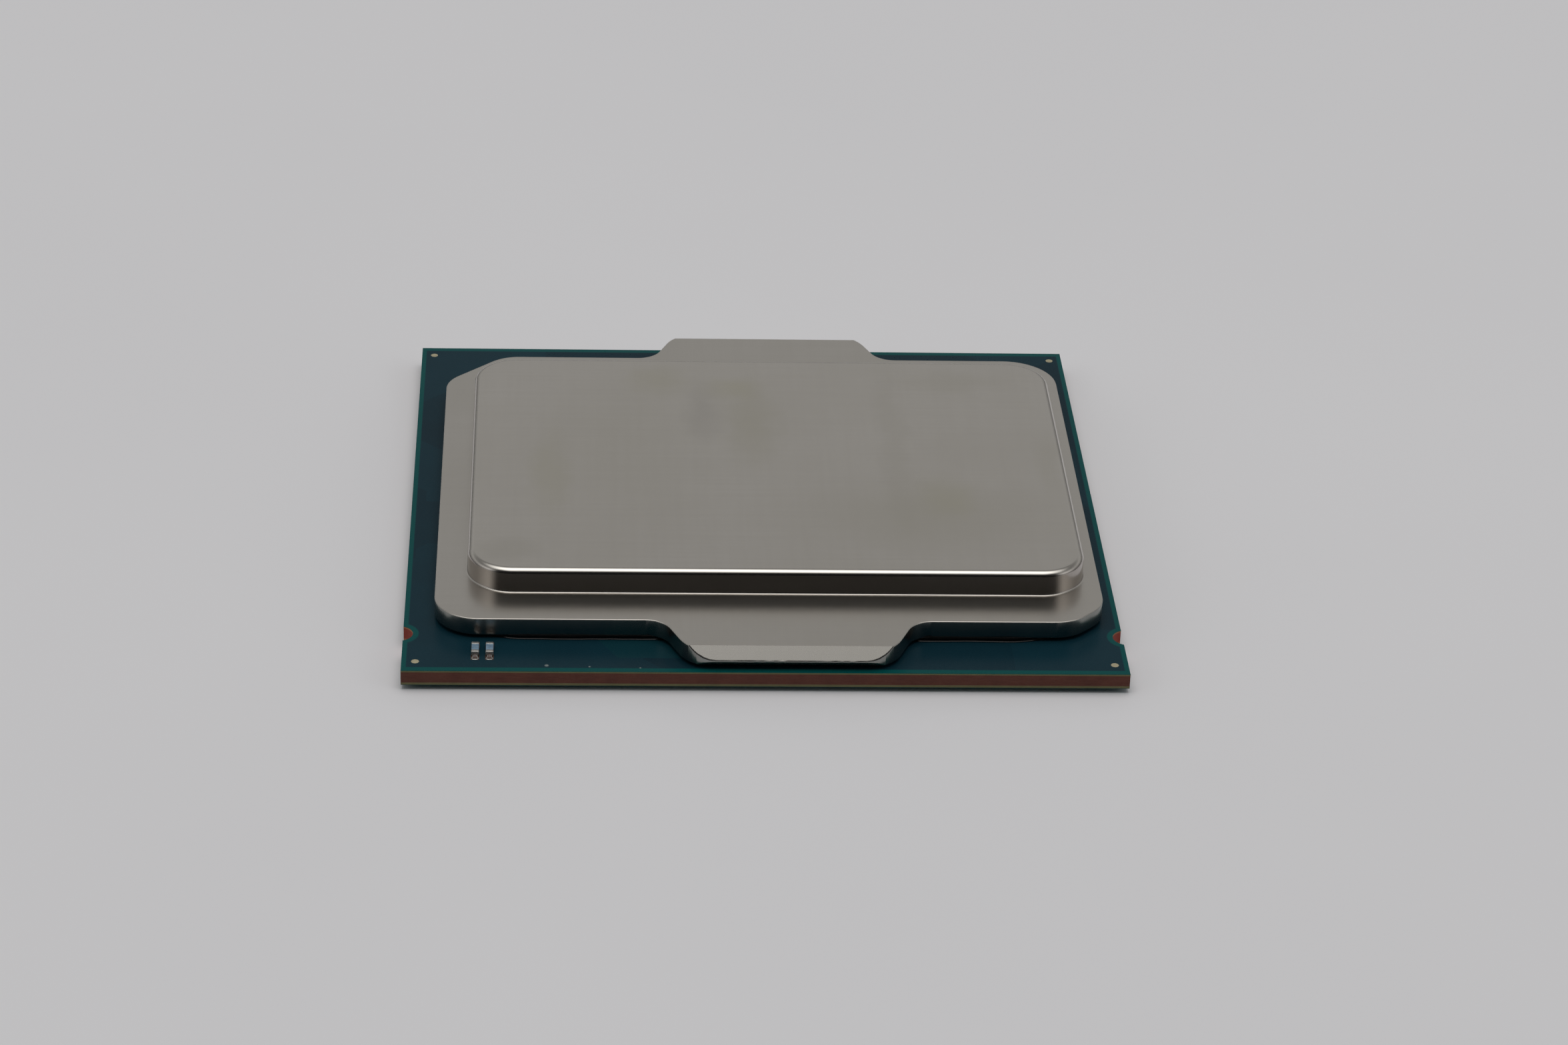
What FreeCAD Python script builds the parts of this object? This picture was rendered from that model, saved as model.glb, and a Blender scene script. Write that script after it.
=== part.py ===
import FreeCAD, Part
import os

import Sketcher

# A land-grid-array computer processor. A square laminated board carries a silicon chip under a
# nickel-plated copper heat spreader, and a field of flat gold contact lands on its underside.
#
# Frame: millimetres, +Z up. The origin is under the board's centre, on the surface that the part
# stands on. The part stands on the capacitors of its underside, which reach lower than the lands.
# -Y is the front, the long side next to the two keying notches.

Vector = FreeCAD.Vector
Placement = FreeCAD.Placement
Rotation = FreeCAD.Rotation

# Each driving dimension: its name, its value in millimetres, and what it measures.
DIMENSIONS = (
    ("stand_off", 0.28, "underside of the board above the surface it stands on"),
    ("mask_thick", 0.02, "each solder mask"),
    ("buildup_lower", 0.13, "dielectric layers between the core and the lower mask"),
    ("core_thick", 0.60, "glass-epoxy core of the board"),
    ("buildup_upper", 0.08, "dielectric layers between the core and the upper mask"),
    ("copper_thick", 0.015, "each copper plane, sunk flush into its dielectric"),
    ("board_side", 37.5, "side of the square board"),
    ("copper_margin", 0.36, "strip without copper along every edge of the board"),
    ("notch_radius", 0.78, "round keying notch"),
    ("notch_reach", 19.02, "centre of a keying notch from the board's centre, along X"),
    ("notch_front", 14.93, "centre of a keying notch in front of the board's centre"),
    ("fiducial_radius", 0.205, "round alignment mark"),
    ("fiducial_x", 18.04, "alignment marks from the board's centre, along X"),
    ("fiducial_y", 17.80, "alignment marks from the board's centre, along Y"),
    ("via_radius", 0.10, "plated hole through the core"),
    ("via_pitch", 2.7, "spacing of the plated holes"),
    ("microvia_radius", 0.05, "plated hole through the upper dielectric"),
    ("land_pitch", 0.9144, "spacing of the contact lands"),
    ("land_wide", 0.46, "contact land, across"),
    ("land_long", 0.62, "contact land, along"),
    ("land_clearance", 0.02, "mask opening beyond a contact land, on every side"),
    ("land_thick", 0.04, "contact land, from the dielectric down"),
    ("die_long", 16.3, "silicon chip, along X"),
    ("die_deep", 9.2, "silicon chip, along Y"),
    ("die_thick", 0.42, "silicon chip, upright"),
    ("die_window", 0.5, "copper-free frame round the chip's solder balls"),
    ("bump_gap", 0.07, "underside of the chip above the board"),
    ("bump_radius", 0.13, "solder ball under the chip"),
    ("bump_pitch", 1.1, "spacing of the solder balls"),
    ("die_pad_radius", 0.17, "copper pad under a solder ball"),
    ("underfill_foot", 1.0, "foot of the underfill's sloping edge beyond the chip"),
    ("underfill_climb", 0.30, "underfill's edge above the board, against the chip"),
    ("underfill_lip", 0.05, "underfill's upper edge beyond the chip"),
    ("interface_thick", 0.10, "thermal interface between the chip and the heat spreader"),
    ("interface_spread", 0.6, "thermal interface beyond the chip, on every side"),
    ("lid_gap", 0.20, "underside of the heat spreader's rim above the board"),
    ("lid_wide", 35.04, "rim of the heat spreader, along X"),
    ("lid_deep", 30.76, "rim of the heat spreader without its tabs, along Y"),
    ("lid_shift", 0.35, "centre of the rim from the board's centre, along X"),
    ("rim_thick", 0.95, "rim of the heat spreader"),
    ("rim_round_front", 2.35, "front left corner of the rim"),
    ("rim_round_back", 2.9, "back right corner of the rim"),
    ("rim_cut_front", 1.8, "bevel of the rim's front right corner"),
    ("rim_cut_back", 3.2, "bevel of the rim's back left corner"),
    ("rim_cut_soften", 2.2, "rounding where those bevels meet the straight sides"),
    ("rim_edge", 0.07, "rounding of the rim's top edge"),
    ("tab_shift", 1.24, "centre of the tabs from the board's centre, along X"),
    ("tab_root", 13.10, "width of a tab where it leaves the rim"),
    ("tab_end", 10.40, "width of a tab at its end"),
    ("tab_reach", 18.56, "end of a tab from the board's centre, along Y"),
    ("tab_root_round", 1.4, "hollow corner between a tab and the rim"),
    ("tab_end_round", 2.0, "outer corner of a tab"),
    ("tab_bevel_deep", 0.58, "bevel from a tab's upper face to its end, along Y"),
    ("tab_bevel_high", 0.59, "bevel from a tab's upper face to its end, upright"),
    ("tab_under_deep", 0.26, "bevel from a tab's lower face to its end, along Y"),
    ("tab_under_high", 0.30, "bevel from a tab's lower face to its end, upright"),
    ("bevel_spare", 0.20, "how far a bevel's cut runs on past the tab"),
    ("plateau_wide", 32.55, "raised face of the heat spreader, along X"),
    ("plateau_deep", 25.06, "raised face of the heat spreader, along Y"),
    ("plateau_shift", 0.78, "centre of the raised face from the board's centre, along X"),
    ("plateau_high", 1.33, "raised face above the rim"),
    ("plateau_round", 2.4, "corners of the raised face"),
    ("plateau_edge", 0.28, "rounding of the raised face's top edge"),
    ("plateau_foot", 0.15, "hollow rounding between the raised face's wall and the rim"),
    ("cavity_wide", 28.0, "hollow under the heat spreader, along X"),
    ("cavity_deep", 21.5, "hollow under the heat spreader, along Y"),
    ("cavity_round", 1.5, "corners of the hollow"),
    ("sealant_wide", 34.3, "outer edge of the sealant, along X"),
    ("sealant_deep", 30.86, "outer edge of the sealant, along Y"),
    ("sealant_round", 4.5, "outer corners of the sealant"),
    ("sealant_inner_wide", 30.0, "inner edge of the sealant, along X"),
    ("sealant_inner_deep", 25.5, "inner edge of the sealant, along Y"),
    ("sealant_inner_round", 2.5, "inner corners of the sealant"),
    ("sealant_vent", 4.0, "gap left in the sealant to let the hollow breathe"),
    ("chip_pair_x", 14.61, "pair of front capacitors left of the board's centre"),
    ("chip_pair_y", 16.72, "pair of front capacitors in front of the board's centre"),
    ("chip_pair_pitch", 0.74, "spacing of the two front capacitors"),
    ("solder_film", 0.02, "solder between a capacitor and its pads"),
)

# The layers from the standing surface upwards. The sum of the first few is a level.
STACK = ("stand_off", "mask_thick", "buildup_lower", "core_thick", "buildup_upper", "mask_thick")
MASK_LOWER = STACK[:1]
BUILDUP_LOWER = STACK[:2]
CORE = STACK[:3]
BUILDUP_UPPER = STACK[:4]
MASK_UPPER = STACK[:5]
BOARD_TOP = STACK
DIE_BOTTOM = BOARD_TOP + ("bump_gap",)
DIE_TOP = DIE_BOTTOM + ("die_thick",)
LID_BOTTOM = BOARD_TOP + ("lid_gap",)

# Grids: how many along X and along Y.
LAND_GRID = 40
LAND_HOLLOW = (24, 16)
LAND_CORNER_DIAGONALS = 2
BUMP_GRID = (14, 8)
VIA_GRID = (12, 12)
LAND_CAPACITOR_COLUMNS = (-8.6, -6.6, -3.0, -1.0, 1.0, 3.0, 6.6, 8.6)
LAND_CAPACITOR_ROWS = (-4.5, -1.5, 1.5, 4.5)

# The two sizes of chip capacitor: length, width, height, terminal length, width of a pad,
# how far a pad reaches past the terminal's end, and how high the solder climbs there.
FRONT_CAPACITOR = {
    "length": 1.03, "width": 0.41, "height": 0.26, "terminal": 0.24,
    "pad_width": 0.44, "pad_past": 0.38, "climb": 0.15,
}
LAND_CAPACITOR = {
    "length": 1.00, "width": 0.50, "height": 0.26, "terminal": 0.24,
    "pad_width": 0.54, "pad_past": 0.14, "climb": 0.12,
}
# A terminal wraps its capacitor's body, and stands this far proud of it.
TERMINAL_SKIN = 0.012
# A pad lies this far below the outer face of the mask.
PAD_SUNK = 0.002
# Two places closer than this count as the same.
NEAR = 0.01

PARTS_FOLDER = "parts"

doc = FreeCAD.newDocument("processor")
sheet = doc.addObject("Spreadsheet::Sheet", "sizes")
nodes = []


def fill_sheet():
    """Write every driving dimension to the sheet, with its name as the cell's alias."""
    for row, (alias, value, meaning) in enumerate(DIMENSIONS, start=1):
        sheet.set("A%d" % row, alias)
        sheet.set("B%d" % row, str(value))
        sheet.set("C%d" % row, meaning)
        sheet.setAlias("B%d" % row, alias)
    doc.recompute()


def size(alias):
    """A driving dimension's value."""
    return float(sheet.get(alias))


def total(aliases):
    """The sum of several driving dimensions."""
    return sum(size(alias) for alias in aliases)


def formula(aliases):
    """The same sum as an expression that follows the sheet."""
    return " + ".join("sizes." + alias for alias in aliases)


def node(item, name):
    """Count an object as one of the processor's pieces."""
    item.Label = name
    nodes.append(item)
    return item


# ---------------------------------------------------------------- sketches and bodies


def new_body(name, level, shift=None):
    """A body whose own XY plane lies at a level of the stack."""
    body = doc.addObject("PartDesign::Body", name)
    body.setExpression("Placement.Base.z", formula(level))
    if shift:
        body.setExpression("Placement.Base.x", "sizes." + shift)
    return body


def plane_of(body, role):
    """One of the body's own origin planes."""
    return next(item for item in body.Origin.OriginFeatures if item.Role == role)


def new_sketch(body, name, role="XY_Plane"):
    """A sketch on one of the body's own origin planes."""
    sketch = body.newObject("Sketcher::SketchObject", name)
    sketch.AttachmentSupport = [(plane_of(body, role), "")]
    sketch.MapMode = "FlatFace"
    return sketch


def bind(sketch, constraint, name, expression):
    """Add a named dimension to a sketch, and tie it to the sheet."""
    sketch.renameConstraint(sketch.addConstraint(constraint), name)
    sketch.setExpression("Constraints." + name, expression)


def add_loop(sketch, corners):
    """Draw a closed loop of straight lines, and join each to the next. Return the first index."""
    first = sketch.GeometryCount
    count = len(corners)
    for index, corner in enumerate(corners):
        following = corners[(index + 1) % count]
        sketch.addGeometry(Part.LineSegment(Vector(*corner, 0), Vector(*following, 0)), False)
    for index in range(count):
        following = first + (index + 1) % count
        sketch.addConstraint(Sketcher.Constraint("Coincident", first + index, 2, following, 1))
    return first


def add_rectangle(sketch, label, wide, deep):
    """Draw a rectangle centred on the sketch's origin. wide and deep are (value, expression)."""
    half_x = wide[0] / 2
    half_y = deep[0] / 2
    corners = [(-half_x, -half_y), (half_x, -half_y), (half_x, half_y), (-half_x, half_y)]
    first = add_loop(sketch, corners)
    for side in (0, 2):
        sketch.addConstraint(Sketcher.Constraint("Horizontal", first + side))
        sketch.addConstraint(Sketcher.Constraint("Vertical", first + side + 1))
    sketch.addConstraint(Sketcher.Constraint("Symmetric", first, 1, first + 2, 1, -1, 1))
    across = Sketcher.Constraint("DistanceX", first, 1, first, 2, wide[0])
    bind(sketch, across, label + "_wide", wide[1])
    along = Sketcher.Constraint("DistanceY", first + 1, 1, first + 1, 2, deep[0])
    bind(sketch, along, label + "_deep", deep[1])


def by_alias(alias):
    """A driving dimension as a value and an expression."""
    return size(alias), "sizes." + alias


def pad(body, sketch, name, expression):
    """Raise a sketch into a solid."""
    feature = body.newObject("PartDesign::Pad", name)
    feature.Profile = sketch
    feature.setExpression("Length", expression)
    sketch.Visibility = False
    doc.recompute()
    return feature


def pocket(body, sketch, name, expression=None):
    """Cut a sketch upwards out of the solid above it: to a depth, or right through."""
    before = body.Tip.Shape.Volume
    feature = body.newObject("PartDesign::Pocket", name)
    feature.Profile = sketch
    feature.Reversed = True
    if expression:
        feature.Type = "Length"
        feature.setExpression("Length", expression)
    else:
        feature.Type = "ThroughAll"
    doc.recompute()
    if feature.Shape.Volume >= before:
        raise RuntimeError(name + " cut nothing")
    return feature


def edges_where(shape, test):
    """The names of a shape's edges that pass a test."""
    return ["Edge%d" % number for number, edge in enumerate(shape.Edges, start=1) if test(edge)]


def is_upright(edge):
    """Whether an edge is a straight line along Z."""
    if not isinstance(edge.Curve, Part.Line):
        return False
    return abs(edge.tangentAt(edge.FirstParameter).z) > 0.999


def upright_at(x, y):
    """A test for the upright edge at a place, in the body's own frame."""
    def test(edge):
        middle = edge.BoundBox.Center
        return is_upright(edge) and abs(middle.x - x) < NEAR and abs(middle.y - y) < NEAR
    return test


def round_edges(body, name, alias, test):
    """Round the edges of the body that pass a test."""
    base = body.Tip
    names = edges_where(base.Shape, test)
    if not names:
        raise RuntimeError(name + " found no edge")
    feature = body.newObject("PartDesign::Fillet", name)
    feature.Base = (base, names)
    feature.setExpression("Radius", "sizes." + alias)
    doc.recompute()
    return feature


def bevel_edges(body, name, alias, test):
    """Bevel the edges of the body that pass a test, by the same distance on both sides."""
    base = body.Tip
    feature = body.newObject("PartDesign::Chamfer", name)
    feature.Base = (base, edges_where(base.Shape, test))
    feature.ChamferType = "Equal distance"
    feature.setExpression("Size", "sizes." + alias)
    doc.recompute()
    return feature


# ---------------------------------------------------------------- plain shapes in groups


def make_group(name, solids):
    """A piece that is many separate solids, each placed in the processor's frame."""
    item = doc.addObject("Part::Feature", name)
    item.Shape = Part.makeCompound(solids)
    item.Placement = Placement()
    return node(item, name)


def make_cut(name, base, tools):
    """A piece that is one object with others taken out of it."""
    for step, tool in enumerate(tools, start=1):
        cut = doc.addObject("Part::Cut", "%s_cut_%d" % (name, step))
        cut.Base = base
        cut.Tool = tool
        base = cut
    doc.recompute()
    return node(base, name)


def block(wide, deep, high, centre, low):
    """A box centred on (x, y), with its underside at low."""
    corner = Vector(centre[0] - wide / 2, centre[1] - deep / 2, low)
    return Part.makeBox(wide, deep, high, corner)


def grid(columns, rows, pitch, centre=(0, 0)):
    """The places of a centred grid."""
    for column in range(columns):
        for row in range(rows):
            x = centre[0] + (column - (columns - 1) / 2) * pitch
            y = centre[1] + (row - (rows - 1) / 2) * pitch
            yield x, y


def slot_wire(x, y, wide, long, z):
    """A flat outline with straight sides along Y and round ends."""
    radius = wide / 2
    straight = (long - wide) / 2
    right_low = Vector(x + radius, y - straight, z)
    right_high = Vector(x + radius, y + straight, z)
    left_high = Vector(x - radius, y + straight, z)
    left_low = Vector(x - radius, y - straight, z)
    sides = (
        Part.LineSegment(right_low, right_high),
        Part.Arc(right_high, Vector(x, y + straight + radius, z), left_high),
        Part.LineSegment(left_high, left_low),
        Part.Arc(left_low, Vector(x, y - straight - radius, z), right_low),
    )
    return Part.Wire([side.toShape() for side in sides])


def circle_wire(x, y, radius, z):
    """A flat circle."""
    return Part.Wire(Part.makeCircle(radius, Vector(x, y, z)))


def rectangle_wire(x, y, wide, deep, z):
    """A flat rectangle centred on (x, y)."""
    left = x - wide / 2
    right = x + wide / 2
    front = y - deep / 2
    back = y + deep / 2
    corners = [(left, front), (right, front), (right, back), (left, back), (left, front)]
    return Part.makePolygon([Vector(*corner, z) for corner in corners])


# ---------------------------------------------------------------- the board's layers


def board_outline(body, name, thickness, margin):
    """A square plate with both keying notches, its outline drawn in by a margin."""
    inset = size(margin) if margin else 0
    inset_formula = "sizes." + margin if margin else "0"
    outline = new_sketch(body, name + "_outline")
    side = (size("board_side") - 2 * inset, "sizes.board_side - 2 * " + inset_formula)
    add_rectangle(outline, "board", side, side)
    pad(body, outline, name + "_plate", thickness)
    notches = new_sketch(body, name + "_notches")
    radius = size("notch_radius") + inset
    for sign, word in ((-1, "left"), (1, "right")):
        centre = Vector(sign * size("notch_reach"), -size("notch_front"), 0)
        circle = notches.addGeometry(Part.Circle(centre, Vector(0, 0, 1), radius), False)
        radial = Sketcher.Constraint("Radius", circle, radius)
        bind(notches, radial, word + "_radius", "sizes.notch_radius + " + inset_formula)
        ends = (circle, 3, -1, 1) if sign < 0 else (-1, 1, circle, 3)
        reach = Sketcher.Constraint("DistanceX", *ends, size("notch_reach"))
        bind(notches, reach, word + "_reach", "sizes.notch_reach")
        front = Sketcher.Constraint("DistanceY", circle, 3, -1, 1, size("notch_front"))
        bind(notches, front, word + "_front", "sizes.notch_front")
    pocket(body, notches, name + "_notch_cut")


def layer(name, level, thickness, margin=None):
    """One flat layer of the board, as a body of its own."""
    body = new_body(name, level)
    board_outline(body, name, thickness, margin)
    return body


def perforated_layer(name, level, thickness, openings):
    """A thin layer with the board's outline and many openings, given as flat outlines."""
    outline = layer(name + "_blank", level, formula((thickness,)))
    low = total(level)
    underside = min(outline.Shape.Faces, key=lambda face: face.CenterOfMass.z)
    face = Part.Face([underside.OuterWire] + [opening(low) for opening in openings])
    item = doc.addObject("Part::Feature", name)
    item.Shape = face.extrude(Vector(0, 0, size(thickness)))
    item.Placement = Placement()
    outline.Visibility = False
    return node(item, name)


def land_places():
    """The places of the contact lands: a square grid, hollow in the middle, less its corners."""
    pitch = size("land_pitch")
    centre = (LAND_GRID - 1) / 2
    skip_x = LAND_HOLLOW[0] / 2
    skip_y = LAND_HOLLOW[1] / 2
    places = []
    for column in range(LAND_GRID):
        for row in range(LAND_GRID):
            across = column - centre
            along = row - centre
            in_hollow = abs(across) < skip_x and abs(along) < skip_y
            in_corner = abs(across) + abs(along) > 2 * centre + 0.5 - LAND_CORNER_DIAGONALS
            if not in_hollow and not in_corner:
                places.append((across * pitch, along * pitch))
    return places


def bump_places():
    """The places of the solder balls, under the chip's middle."""
    centre = (size("plateau_shift"), 0)
    return list(grid(BUMP_GRID[0], BUMP_GRID[1], size("bump_pitch"), centre))


def fiducial_places():
    """The places of the four alignment marks, near the board's corners."""
    x = size("fiducial_x")
    y = size("fiducial_y")
    return [(-x, -y), (x, -y), (-x, y), (x, y)]


def cylinders(places, radius, low, high):
    """Upright pins between two levels."""
    return [Part.makeCylinder(radius, high - low, Vector(x, y, low)) for x, y in places]


def make_board():
    """The core, the dielectric and copper layers, the plated holes and the lands."""
    copper = size("copper_thick")
    core_low = total(CORE)
    core_high = total(BUILDUP_UPPER)
    mask_low = total(MASK_UPPER)

    vias = cylinders(list(grid(*VIA_GRID, size("via_pitch"))), size("via_radius"), core_low, core_high)
    core_vias = make_group("core_vias", vias)
    core = layer("core_plate", CORE, "sizes.core_thick")
    make_cut("core_laminate", core, [core_vias])

    # The planes lie on the core's two faces, and the dielectric closes round them.
    power = node(layer("power_plane", BUILDUP_UPPER, "sizes.copper_thick", "copper_margin"),
                 "power_plane")
    ground = node(layer("ground_plane", CORE, "sizes.copper_thick", "copper_margin"), "ground_plane")
    ground.setExpression("Placement.Base.z", formula(CORE) + " - sizes.copper_thick")

    # The outer copper of the upper face leaves a window for the pads of the chip's solder balls.
    surface = layer("surface_copper", MASK_UPPER, "sizes.copper_thick", "copper_margin")
    surface.setExpression("Placement.Base.z", formula(MASK_UPPER) + " - sizes.copper_thick")
    window = new_sketch(surface, "chip_window")
    window.setExpression("AttachmentOffset.Base.x", "sizes.plateau_shift")
    wide = (size("die_long") + 2 * size("die_window"), "sizes.die_long + 2 * sizes.die_window")
    deep = (size("die_deep") + 2 * size("die_window"), "sizes.die_deep + 2 * sizes.die_window")
    add_rectangle(window, "window", wide, deep)
    pocket(surface, window, "chip_window_cut")
    node(surface, "surface_copper")

    bumps = bump_places()
    pads = cylinders(bumps, size("die_pad_radius"), mask_low - copper, mask_low)
    die_pads = make_group("die_pads", pads)
    plugs = cylinders(bumps, size("microvia_radius"), core_high + copper, mask_low - copper)
    microvias = make_group("microvias", plugs)

    upper = layer("buildup_upper_slab", BUILDUP_UPPER, "sizes.buildup_upper")
    make_cut("buildup_upper", upper, [power, surface, die_pads, microvias])
    lower = layer("buildup_lower_slab", BUILDUP_LOWER, "sizes.buildup_lower")
    make_cut("buildup_lower", lower, [ground])


def make_masks_and_lands(front_pads, land_pads):
    """The two solder masks with their openings, the alignment marks and the contact lands."""
    upper = [lambda z, at=at: circle_wire(*at, size("fiducial_radius"), z)
             for at in fiducial_places()]
    upper += [lambda z, at=at: circle_wire(*at, size("bump_radius"), z) for at in bump_places()]
    upper += [lambda z, spot=spot: rectangle_wire(*spot, z) for spot in front_pads]
    perforated_layer("solder_mask_upper", MASK_UPPER, "mask_thick", upper)

    wide = size("land_wide")
    long = size("land_long")
    loose = 2 * size("land_clearance")
    lands = land_places()
    lower = [lambda z, at=at: slot_wire(*at, wide + loose, long + loose, z) for at in lands]
    lower += [lambda z, spot=spot: rectangle_wire(*spot, z) for spot in land_pads]
    perforated_layer("solder_mask_lower", MASK_LOWER, "mask_thick", lower)

    low = total(MASK_UPPER)
    thick = size("mask_thick") - PAD_SUNK
    marks = cylinders(fiducial_places(), size("fiducial_radius"), low, low + thick)
    make_group("fiducial_marks", marks)

    drop = Vector(0, 0, -size("land_thick"))
    top = total(BUILDUP_LOWER)
    faces = [Part.Face(slot_wire(x, y, wide, long, top)) for x, y in lands]
    make_group("contact_lands", [face.extrude(drop) for face in faces])


# ---------------------------------------------------------------- chip capacitors


def capacitor_pads(kind, places):
    """The pads of several capacitors, each as x, y, width and length along Y."""
    length = kind["terminal"] + kind["pad_past"]
    offset = kind["length"] / 2 + kind["pad_past"] - length / 2
    spots = []
    for x, y in places:
        for end in (-1, 1):
            spots.append((x, y + end * offset, kind["pad_width"], length))
    return spots


def solder_joint(kind, x, y, end):
    """The solder on one pad: a film under the terminal and a slope up its end face."""
    film = size("solder_film")
    half_width = kind["pad_width"] / 2
    end_y = y + end * kind["length"] / 2
    toe_y = end_y + end * kind["pad_past"]
    heel_y = end_y - end * kind["terminal"]
    outline = [
        Vector(x - half_width, heel_y, -PAD_SUNK),
        Vector(x - half_width, toe_y, -PAD_SUNK),
        Vector(x - half_width, toe_y, film),
        Vector(x - half_width, end_y, film + kind["climb"]),
        Vector(x - half_width, end_y, film),
        Vector(x - half_width, heel_y, film),
    ]
    face = Part.Face(Part.makePolygon(outline + outline[:1]))
    return face.extrude(Vector(kind["pad_width"], 0, 0))


def capacitor_solids(kind, x, y):
    """One capacitor on a surface at z = 0: its body, terminals, solder joints and pads."""
    film = size("solder_film")
    skin = TERMINAL_SKIN
    inner_width = kind["width"] - 2 * skin
    inner_height = kind["height"] - 2 * skin
    inner_length = kind["length"] - 2 * skin
    body = block(inner_width, inner_length, inner_height, (x, y), film + skin)
    terminals = []
    joints = []
    for end in (-1, 1):
        middle = y + end * (kind["length"] - kind["terminal"]) / 2
        sleeve = block(kind["width"], kind["terminal"], kind["height"], (x, middle), film)
        terminals.append(sleeve.cut(body))
        joints.append(solder_joint(kind, x, y, end))
    thick = size("mask_thick") - PAD_SUNK
    pads = [block(wide, deep, thick, (px, py), -size("mask_thick"))
            for px, py, wide, deep in capacitor_pads(kind, [(x, y)])]
    return {"bodies": [body], "terminals": terminals, "solder": joints, "pads": pads}


def make_capacitors(prefix, kind, places, placement):
    """The four pieces of a set of capacitors, moved from z = 0 to the face that holds them."""
    gathered = {"bodies": [], "terminals": [], "solder": [], "pads": []}
    for x, y in places:
        for word, solids in capacitor_solids(kind, x, y).items():
            gathered[word] += solids
    for word, solids in gathered.items():
        moved = [solid.transformed(placement.toMatrix()) for solid in solids]
        make_group(prefix + "_capacitor_" + word, moved)


def front_capacitor_places():
    """The two capacitors beside the heat spreader's front left corner."""
    half = size("chip_pair_pitch") / 2
    x = -size("chip_pair_x")
    y = -size("chip_pair_y")
    return [(x - half, y), (x + half, y)]


def land_capacitor_places():
    """The capacitors in the hollow of the contact lands."""
    return [(x, y) for x in LAND_CAPACITOR_COLUMNS for y in LAND_CAPACITOR_ROWS]


# ---------------------------------------------------------------- the chip


def make_chip():
    """The silicon chip, its solder balls, the underfill round them and the thermal interface."""
    gap_low = total(MASK_UPPER)
    gap_high = total(DIE_BOTTOM)
    bumps = make_group("solder_bumps", cylinders(bump_places(), size("bump_radius"), gap_low, gap_high))

    die = doc.addObject("Part::Box", "silicon_die")
    die.setExpression("Length", "sizes.die_long")
    die.setExpression("Width", "sizes.die_deep")
    die.setExpression("Height", "sizes.die_thick")
    die.setExpression("Placement.Base.x", "sizes.plateau_shift - sizes.die_long / 2")
    die.setExpression("Placement.Base.y", "-sizes.die_deep / 2")
    die.setExpression("Placement.Base.z", formula(DIE_BOTTOM))
    node(die, "silicon_die")

    # The wedge's own Y runs upwards here, so its own Z runs back to front.
    flow = doc.addObject("Part::Wedge", "underfill_flow")
    for side, sign in (("min", "-"), ("max", "")):
        foot = "%s(sizes.%s / 2 + sizes.underfill_foot)"
        flow.setExpression("X" + side, foot % (sign, "die_long"))
        flow.setExpression("Z" + side, foot % (sign, "die_deep"))
        lip = "%s(sizes.%s / 2 + sizes.underfill_lip)"
        flow.setExpression("X2" + side, lip % (sign, "die_long"))
        flow.setExpression("Z2" + side, lip % (sign, "die_deep"))
    flow.Ymin = 0
    flow.setExpression("Ymax", "sizes.underfill_climb")
    flow.Placement = Placement(Vector(), Rotation(Vector(1, 0, 0), 90))
    flow.setExpression("Placement.Base.x", "sizes.plateau_shift")
    flow.setExpression("Placement.Base.z", formula(BOARD_TOP))
    make_cut("underfill", flow, [die, bumps])

    interface = new_body("thermal_interface", DIE_TOP, "plateau_shift")
    outline = new_sketch(interface, "interface_outline")
    wide = (size("die_long") + 2 * size("interface_spread"),
            "sizes.die_long + 2 * sizes.interface_spread")
    deep = (size("die_deep") + 2 * size("interface_spread"),
            "sizes.die_deep + 2 * sizes.interface_spread")
    add_rectangle(outline, "interface", wide, deep)
    pad(interface, outline, "interface_plate", "sizes.interface_thick")
    round_edges(interface, "interface_corners", "interface_spread", is_upright)
    node(interface, "thermal_interface")


# ---------------------------------------------------------------- the heat spreader


def add_tab(body, word, sign):
    """A tab of the rim, wider where it leaves the rim than at its end."""
    sketch = new_sketch(body, word + "_tab_outline")
    sketch.setExpression("AttachmentOffset.Base.x", "sizes.tab_shift")
    root = size("tab_root") / 2
    end = size("tab_end") / 2
    near = sign * size("lid_deep") / 2
    far = sign * size("tab_reach")
    first = add_loop(sketch, [(-root, near), (root, near), (end, far), (-end, far)])
    for line, name, alias in ((first, "root", "tab_root"), (first + 2, "end", "tab_end")):
        sketch.addConstraint(Sketcher.Constraint("Symmetric", line, 1, line, 2, -2))
        ends = (line, 1, line, 2) if name == "root" else (line, 2, line, 1)
        bind(sketch, Sketcher.Constraint("DistanceX", *ends, size(alias)), name, "sizes." + alias)
    for line, name, value, expression in (
        (first, "near", abs(near), "sizes.lid_deep / 2"),
        (first + 2, "far", abs(far), "sizes.tab_reach"),
    ):
        ends = (line, 1, -1, 1) if sign < 0 else (-1, 1, line, 1)
        bind(sketch, Sketcher.Constraint("DistanceY", *ends, value), name, expression)
    pad(body, sketch, word + "_tab", "sizes.rim_thick")


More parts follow.
